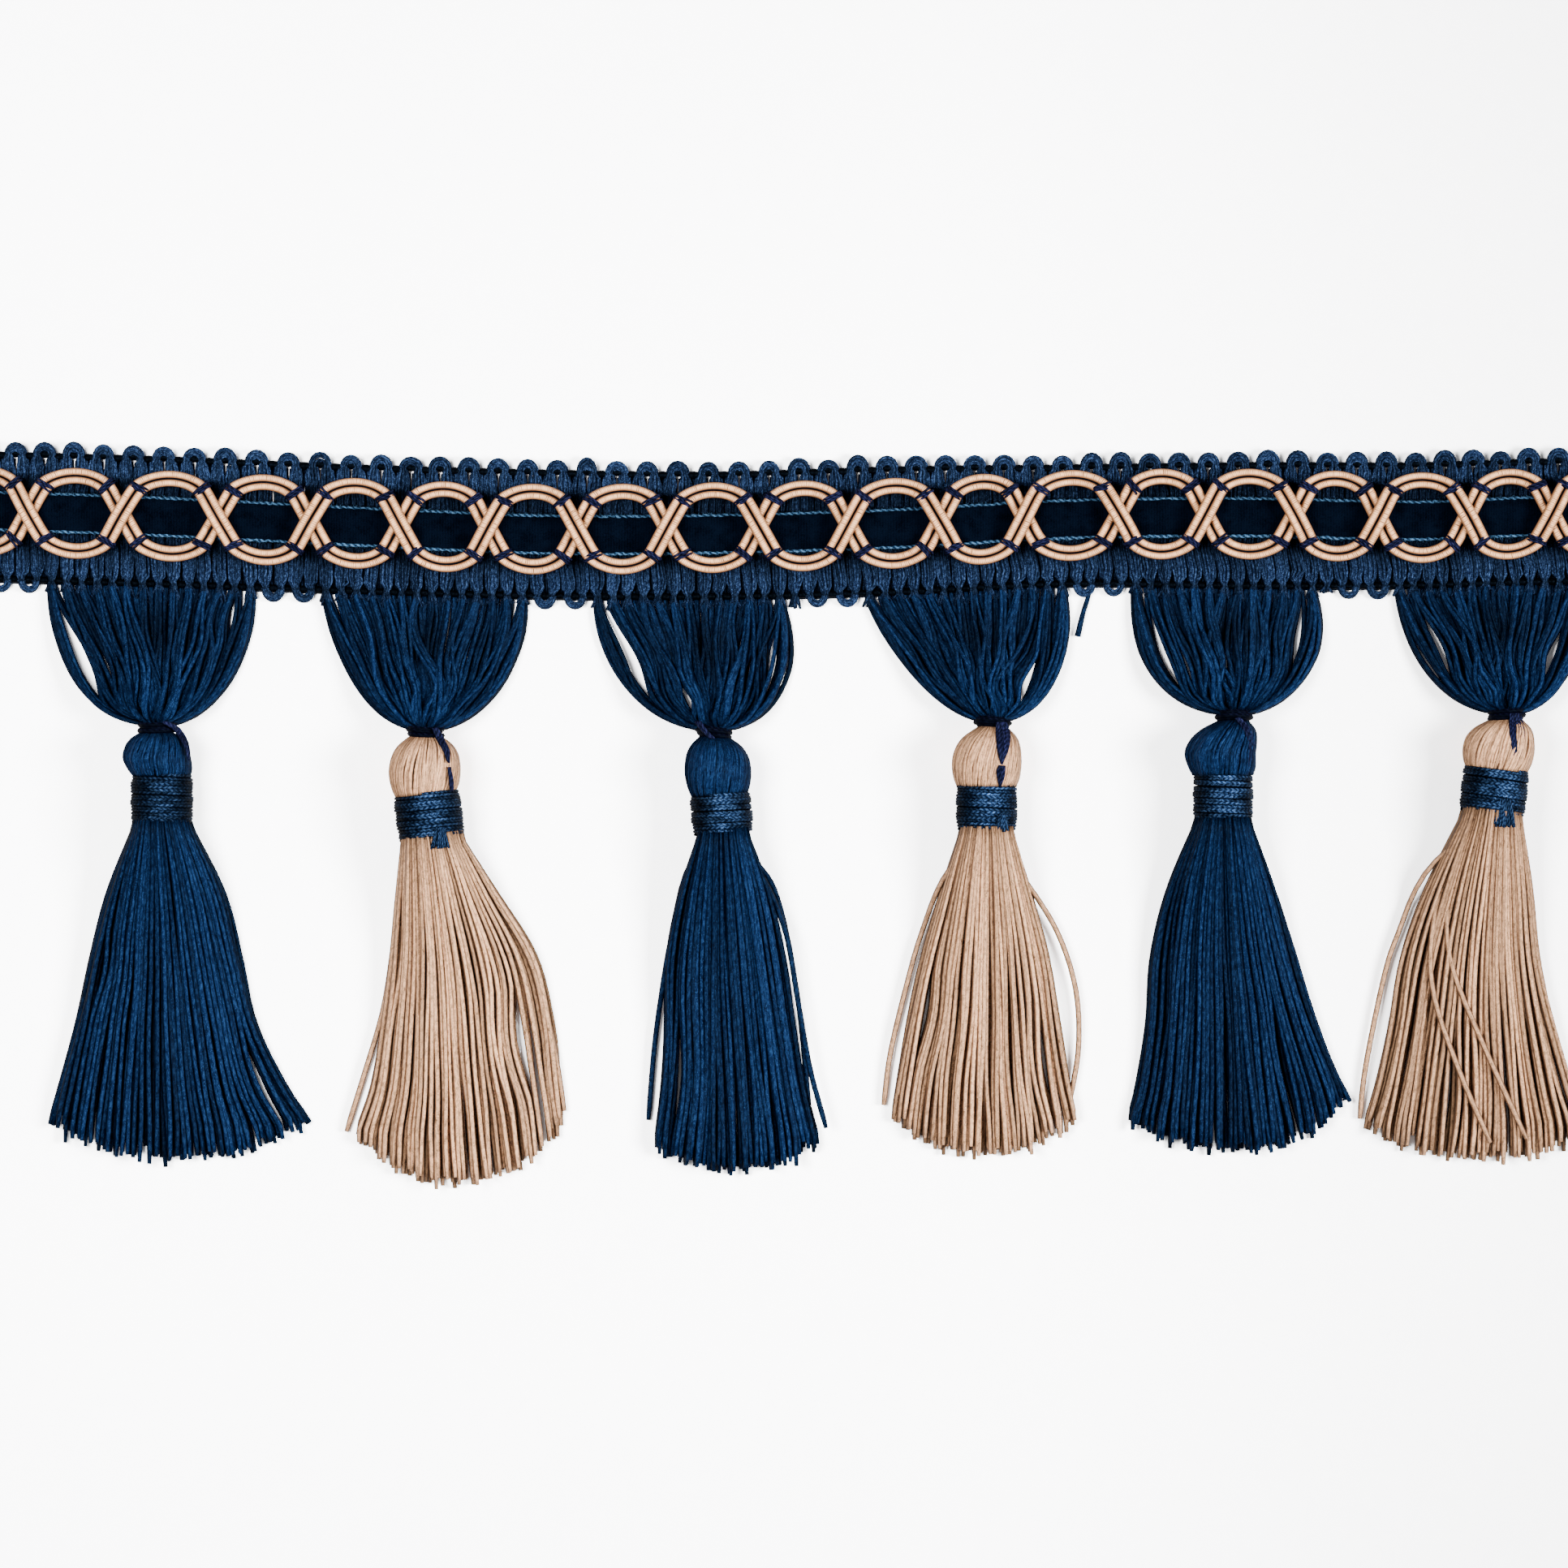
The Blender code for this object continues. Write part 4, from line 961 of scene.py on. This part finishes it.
def add_head(number, materials):
    """A ball head: a black core, painted shade in the gaps, under fine yarns drawn from the neck into
    the wrap.
    """
    rng = np.random.default_rng(30 + number)
    head, wrap = HEADS[number - 1], WRAPS[number - 1]
    shares, x, y, z, radius = head_axis(head, wrap)
    along = np.linspace(0, shares[-1], 20)
    x, y, z, radius = (smooth(shares, values, along) for values in (x, y, z, radius))
    lean = np.radians(wrap.lean) * (1 - along)
    side = np.stack((np.cos(lean), np.sin(lean), np.zeros_like(lean)), axis=-1)
    axis = np.stack((x, y, z), axis=-1)
    count = 124
    turn = 2 * math.pi * (np.arange(count) + rng.uniform(-0.3, 0.3, count)) / count
    turn = turn[:, None] + wander(rng, count, len(along), 3, 0.025) + 0.3 * (1 - along)
    out = np.cos(turn)[..., None] * side + np.sin(turn)[..., None] * UP
    depth = rng.uniform(-0.2, 0.0, (count, 1)) - 0.14
    routes = axis + out * (radius + depth)[..., None]
    yarn = 0.25 * np.clip(radius / head.radius, 0.6, 1)
    # painted shade: the ball darker at its seat on the wrap, under the collar and along its left and
    # right sides
    shown = np.interp(along, (0, 0.06, 0.72, 0.90, 1.03), (0.6, 1.1, 1.1, 0.7, 0.12))
    shown = shown * (1 - 0.55 * np.abs(np.cos(turn)) ** 5)
    cotton = materials[head.cotton]
    slot = head.cotton + "_cotton"
    thick = np.broadcast_to(yarn, routes.shape[:2])
    mesh = tubes(f"head_yarns_{number}", routes, thick, 5, out, lit=shown)
    add_piece(f"head_yarns_{number}", mesh, cotton, slot, f"tassel_{number}")
    turn = 2 * math.pi * np.arange(24)[:, None] / 24
    out = np.cos(turn)[..., None] * side + np.sin(turn)[..., None] * UP
    # the core is black: painted shade between the yarns
    core = skin(f"head_core_{number}", axis + out * (radius - 0.5)[:, None])
    add_piece(f"head_core_{number}", core, materials["black"], slot, f"tassel_{number}")
    angle = np.linspace(0, 8 * math.pi, 120)
    reach = 2.2 + 0.25 * np.sin(angle / 3 + number)
    ring = np.stack((
        head.neck_x + reach * np.cos(angle),
        head.top + np.linspace(0.05, 1.25, len(angle)) + 0.2 * np.cos(angle + number),
        head.radius + reach * np.sin(angle),
    ), axis=-1)
    collar = tubes(f"neck_tie_{number}", [ring], 0.34, 6, np.array((0.0, 1.0, 0.0)))
    add_piece(f"neck_tie_{number}", collar, materials["indigo"], "indigo_cord")


def on_head(number, x, y):
    """Height of the ball's face at places on a head."""
    head, wrap = HEADS[number - 1], WRAPS[number - 1]
    shares, axis_x, axis_y, axis_z, radius = head_axis(head, wrap)
    share = np.clip((y - axis_y[0]) / (head.top - axis_y[0]), 0, shares[-1])
    centre = smooth(shares, axis_x, share)
    size = np.maximum(smooth(shares, radius, share), 2.6) + 0.15
    return smooth(shares, axis_z, share) + np.sqrt(np.maximum(size ** 2 - (x - centre) ** 2, 0.3))


def add_tails(materials):
    """Ends of the tie threads on the heads, as flat bundles of fine threads."""
    ties = {2: "tie_2", 4: "tie_4", 6: "tie_6"}
    for index, tail in enumerate(TAILS):
        rng = np.random.default_rng(60 + index)
        count = max(4, round(tail.width * 4.5))
        route = np.array(tail.route)
        share = np.linspace(0, 1, 14)
        x = smooth((0, 1 / 3, 2 / 3, 1), route[:, 0], share)
        y = smooth((0, 1 / 3, 2 / 3, 1), route[:, 1], share)
        tapers = tail.route[0][1] - tail.route[-1][1] > 2.5
        sizes = (0.7, 1.0, 0.85, 0.12) if tapers else (1.0, 0.8, 0.75, 0.9)
        width = smooth((0, 0.3, 0.65, 1.0), sizes, share) * (tail.width - 0.4)
        across = np.linspace(-0.5, 0.5, count)[:, None]
        px = x + across * width + wander(rng, count, 14, 2, 0.05)
        py = np.broadcast_to(y, px.shape) + rng.normal(0, 0.12, (count, 1)) * (share > 0.95)
        pz = on_head(tail.tassel, px, py) + rng.uniform(0.0, 0.22, (count, 1))
        px, py = seen_from_above(px, py, pz)
        radii = np.interp(share, (0, 0.8, 1), (0.22, 0.22, 0.15))
        name = f"tie_tail_{tail.tassel}_{index}"
        mesh = tubes(name, np.stack((px, py, pz), axis=-1), np.broadcast_to(radii, px.shape))
        kind = "satin" if tail.tassel % 2 == 0 and not tapers else "indigo"
        node = ties.get(tail.tassel)
        nodes = (node,) if node else ()
        add_piece(name, mesh, materials[kind], "indigo_cord", *nodes)


def add_tufts(materials):
    """Cut ends of thread that fan out from under three of the wraps."""
    for tuft in TUFTS:
        rng = np.random.default_rng(70 + tuft.tassel)
        count = 16
        share = np.linspace(0, 1, 6)
        across = np.linspace(0, 1, count)[:, None]
        end = mix(tuft.left, tuft.right, across)
        middle = mix(tuft.left, tuft.right, 0.55)
        x = mix(mix(middle, end, 0.45), end, share) + wander(rng, count, 6, 2, 0.04)
        y = mix(tuft.top + 0.9, tuft.bottom + rng.uniform(-0.2, 0.35, (count, 1)), share)
        z = tuft.lift - 0.9 * share + rng.uniform(-0.2, 0.2, (count, 1))
        x, y = seen_from_above(x, y, z)
        mesh = tubes(f"wrap_tuft_{tuft.tassel}", np.stack((x, y, z), axis=-1), 0.16, 4)
        add_piece(f"wrap_tuft_{tuft.tassel}", mesh, materials["satin"], "navy_satin")


def add_loose(materials):
    """Strands apart from their skirts, and the cut yarn under the heading."""
    share = np.linspace(0, 1, 24)
    for index, loose in enumerate(LOOSE):
        rng = np.random.default_rng(80 + index)
        wrap = WRAPS[loose.tassel - 1]
        route = np.array((wrap_place(wrap, -wrap.length / 2)[:2], *loose.route))
        keys = np.linspace(0, 1, len(route))
        x = smooth(keys, route[:, 0], share) + wander(rng, 1, 24, 3, 0.12)[0] * share
        y = smooth(keys, route[:, 1], share)
        z = np.interp(share, (0, 0.1, 0.3, 1), (wrap.z + 1, wrap.z, loose.lift + 0.6, loose.lift))
        radii = np.interp(share, (0, 0.2, 0.97, 1), (0.25, 0.38, 0.40, 0.3))
        cotton = HEADS[loose.tassel - 1].cotton
        name = f"loose_strand_{index + 1}"
        mesh = tubes(name, [np.stack((x, y, z), axis=-1)], [radii], 6)
        add_piece(name, mesh, materials[cotton], cotton + "_cotton")
    route = np.array(LOOSE_END)
    keys = np.linspace(0, 1, len(route))
    x, y = smooth(keys, route[:, 0], share), smooth(keys, route[:, 1], share)
    z = np.interp(share, (0, 0.2, 1), (0.9, 0.5, 0.42))
    radii = np.interp(share, (0, 0.7, 1), (0.3, 0.38, 0.45))
    mesh = tubes("loose_end", [np.stack((x, y, z), axis=-1)], [radii], 6)
    add_piece("loose_end", mesh, materials["navy"], "navy_cotton")


def add_wrap(number, materials):
    """The satin thread wound round the tassel, two threads side by side."""
    wrap = WRAPS[number - 1]
    lean = math.radians(wrap.lean)
    side = np.array((math.cos(lean), math.sin(lean), 0.0))
    turns = (wrap.length - 0.5) / WRAP_PITCH
    t = np.linspace(0, turns, int(turns * 40))
    routes, outs, lit = [], [], []
    rng = np.random.default_rng(50 + number)
    for start in (0.0, 0.5):
        angle = 2 * math.pi * (t + start)
        out = np.cos(angle)[:, None] * side + np.sin(angle)[:, None] * UP
        reach = (t - turns / 2) * WRAP_PITCH
        reach = reach + 0.05 * np.sin(angle * 0.37 + number) + wander(rng, 1, len(t), 24, 0.03)[0]
        centre = np.stack([wrap_place(wrap, value) for value in reach])
        barrel = wrap.radius - 0.10 - 0.25 * np.abs(reach / (wrap.length / 2)) ** 3
        barrel = barrel + 0.07 * np.sin(np.floor(t + start) * 2.3 + number)
        routes.append(centre + out * barrel[:, None])
        outs.append(out)
        across = np.cos(angle)
        # painted highlight: a bright band down the wrap's middle, a lighter right edge and darker sides,
        # broken into bright patches; each turn a little lighter or darker at random
        painted_highlight = 0.12 + 1.25 * np.exp(-((across - 0.08) / 0.48) ** 2)
        painted_highlight = painted_highlight + 0.15 * np.clip(across - 0.8, 0, 1) / 0.2
        marks = np.arange(0, len(t) + 2, 2)
        patchy = np.interp(np.arange(len(t)), marks, rng.uniform(0.35, 1.65, len(marks)) ** 1.2)
        by_turn = rng.uniform(0.85, 1.15, int(turns) + 2)[np.floor(t + start).astype(int)]
        lit.append(painted_highlight * patchy * by_turn)
    mesh = tubes(f"wrap_thread_{number}", routes, 0.25, 6, np.array(outs), (False, True), np.array(lit))
    add_piece(f"wrap_thread_{number}", mesh, materials["satin"], "navy_satin", f"wrap_{number}")
    # the core under the turns is black: painted shade between them
    ends = [wrap_place(wrap, value) for value in (-wrap.length / 2, wrap.length / 2)]
    core = tubes(f"wrap_core_{number}", [ends], wrap.radius - 0.5, 24)
    add_piece(f"wrap_core_{number}", core, materials["black"], "navy_satin", f"wrap_{number}")


def skirt_x(folds, wrap, y, spread):
    """x of skirt yarns at their heights, spread from -1 left to 1 right."""
    foot = wrap_place(wrap, -wrap.length / 2)
    half = wrap.radius * 0.92
    top = Fold(foot[1], foot[0] - half, foot[0] + half)
    rows = (top, *folds)
    left = smooth(column(rows, "y"), column(rows, "left"), y)
    right = smooth(column(rows, "y"), column(rows, "right"), y)
    return mix(left, right, (spread + 1) / 2)


def add_skirt(number, materials):
    """The skirt's cut yarns in layers, from under the wrap to their uneven ends."""
    rng = np.random.default_rng(40 + number)
    head, wrap = HEADS[number - 1], WRAPS[number - 1]
    folds, tips = SKIRTS[number - 1], TIPS[number - 1]
    share = np.linspace(0, 1, 24)
    shares = (0.0, 0.05, 0.16, 0.38, 0.70, 1.0)
    routes, radii = [], []
    apart = {3: 0.87, 4: 0.90, 6: 0.94}.get(number, 0.985)
    upper = 33 if head.cotton == "tan" else 42
    layers = (
        (upper, (2 * wrap.z - 0.6, 8.0, 6.4, 4.2, 2.9, 2.35), apart - 0.02),
        (42, (wrap.z + 1.5, 6.0, 4.6, 2.7, 1.9, 1.45), apart - 0.03),
        (48, (wrap.z - 1.5, 2.9, 2.0, 1.1, 0.75, 0.62), apart),
    )
    start = wrap_place(wrap, -wrap.length / 2 + 0.6)
    lit = []
    for depth, (count, heights, reach) in enumerate(layers):
        gaps = rng.uniform(0.5, 1.5, count)
        spread = np.cumsum(gaps)
        spread = (2 * (spread - spread[0]) / (spread[-1] - spread[0]) - 1) * reach
        side = np.where(spread < 0, tips.left, tips.right)
        ends = mix(tips.middle, side, np.abs(spread) ** TIP_ROUNDING)
        ends = ends + rng.normal(0, 0.55, count)
        raised = start[1] + math.sin(math.radians(wrap.lean)) * spread[:, None] * wrap.radius
        y = mix(raised, ends[:, None], share)
        x = np.stack([skirt_x(folds, wrap, row, s) for row, s in zip(y, spread)])
        inner = 0.75 * (1 - spread[:, None] ** 2)
        x = mix(x, mix(x[:, :1], x[:, -1:], share), inner)
        x = parted(SKIRT_PARTINGS, number, x, spread, share)
        x = x + wander(rng, count, len(share), 4, 0.24) * share ** 0.6
        dome = np.sqrt(np.clip(1 - np.abs(spread) ** 3, 0.0, 1))[:, None]
        floor = smooth(shares, (wrap.z - 0.5, 3.2, 2.2, 0.9, 0.55, 0.5), share)
        z = floor + (smooth(shares, heights, share) - floor) * dome
        z = z + wander(rng, count, len(share), 3, 0.18) * share + rng.uniform(-0.3, 0.3, (count, 1))
        z = np.maximum(z, 0.42)
        routes.append(np.stack((x, y, z), axis=-1))
        thick = np.interp(share, (0, 0.15, 0.5, 0.98, 1), (0.24, 0.31, 0.38, 0.39, 0.30))
        radii.append(thick * rng.uniform(0.88, 1.1, (count, 1)))
        # painted shade: the lower layers and the yarn just under the wrap drawn darker; each yarn's own
        # tone at random
        shown = rng.uniform(0.8, 1.15, (count, 1)) * (1.0, 0.55, 0.4)[depth] * YARN_LOTS_AND_FALLOFF[number - 1]
        lit.append(shown * np.interp(share, (0, 0.05, 0.10), (0.4, 0.8, 1.0)))
    cotton = materials[head.cotton]
    mesh = tubes(
        f"skirt_yarns_{number}", np.concatenate(routes), np.concatenate(radii), lit=np.concatenate(lit)
    )
    add_piece(f"skirt_yarns_{number}", mesh, cotton, head.cotton + "_cotton", f"tassel_{number}")


def add_floor():
    """White ground, not part of the trim."""
    shader = Shader("white_ground")
    where = shader.add("ShaderNodeTexCoord").outputs["Object"]
    grain = shader.noise(where, 500.0, 3.0)
    paper = shader.ramp(grain, ((0.3, (0.86, 0.86, 0.87)), (0.7, (0.89, 0.89, 0.90))))
    seen = shader.add("ShaderNodeLightPath").outputs["Is Camera Ray"]
    bright = shader.add("ShaderNodeVectorMath", operation="SCALE")
    shader.join(paper, bright.inputs[0])
    split = shader.add("ShaderNodeSeparateXYZ")
    shader.join(where, split.inputs[0])
    # the ground is painted darker towards the right: painted fall-off of the lamps' light
    fall = shader.add("ShaderNodeMapRange", interpolation_type="SMOOTHSTEP")
    fall.inputs["From Min"].default_value = 0.01
    fall.inputs["From Max"].default_value = 0.115
    fall.inputs["To Min"].default_value = 4.8
    fall.inputs["To Max"].default_value = 3.4
    shader.join(split.outputs[0], fall.inputs["Value"])
    shader.join(shader.math("MULTIPLY_ADD", seen, fall.outputs[0], 1.0), bright.inputs["Scale"])
    flat = shader.add("ShaderNodeBsdfDiffuse")
    shader.join(bright.outputs[0], flat.inputs["Color"])
    shader.join(flat.outputs[0], shader.tree.nodes["Material Output"].inputs["Surface"])
    mesh = bpy.data.meshes.new("ground")
    corners = [(-1.5, -1.5, 0), (1.5, -1.5, 0), (1.5, 1.5, 0), (-1.5, 1.5, 0)]
    mesh.from_pydata(corners, [], [(0, 1, 2, 3)])
    mesh.materials.append(shader.material)
    ground = bpy.data.objects.new("ground", mesh)
    bpy.context.scene.collection.objects.link(ground)


def add_light(name, place, size, power, aim=0.0, spread=180.0):
    """A soft square lamp that faces a place along the trim."""
    data = bpy.data.lights.new(name, "AREA")
    data.size = size
    data.energy = power
    data.spread = math.radians(spread)
    lamp = bpy.data.objects.new(name, data)
    bpy.context.scene.collection.objects.link(lamp)
    lamp.location = place
    towards = lamp.location - Vector((aim, 0.0, 0.0))
    lamp.rotation_euler = towards.to_track_quat("Z", "Y").to_euler()


def add_camera():
    """The photograph's view, straight down."""
    data = bpy.data.cameras.new("camera")
    data.lens = 135.0
    data.sensor_width = 36.0
    camera = bpy.data.objects.new("camera", data)
    bpy.context.scene.collection.objects.link(camera)
    height = PHOTO_WIDTH * data.lens / data.sensor_width + 2 * MM
    camera.location = (CAMERA[0] * MM, CAMERA[1] * MM, height)
    bpy.context.scene.camera = camera
    data.clip_start = 0.05


def build():
    """Make every piece, the ground, the lamps and the camera."""
    materials = make_materials()
    add_heading(materials)
    add_ribbon(materials)
    add_gimp(materials)
    for number in range(1, len(HEADS) + 1):
        add_hanger(number, materials)
        add_head(number, materials)
        add_wrap(number, materials)
        add_skirt(number, materials)
    add_tails(materials)
    add_tufts(materials)
    add_loose(materials)
    add_floor()
    add_camera()
    add_light("left_lamp", (-0.22, 0.02, 0.42), 0.20, 2.75)
    add_light("right_lamp", (0.44, -0.02, 0.38), 0.22, 0.95, -0.10, 70.0)
    world = bpy.data.worlds.new("room")
    world.use_nodes = True
    world.node_tree.nodes["Background"].inputs[0].default_value = (1.0, 1.0, 1.0, 1.0)
    world.node_tree.nodes["Background"].inputs[1].default_value = 0.12
    bpy.context.scene.world = world


build()
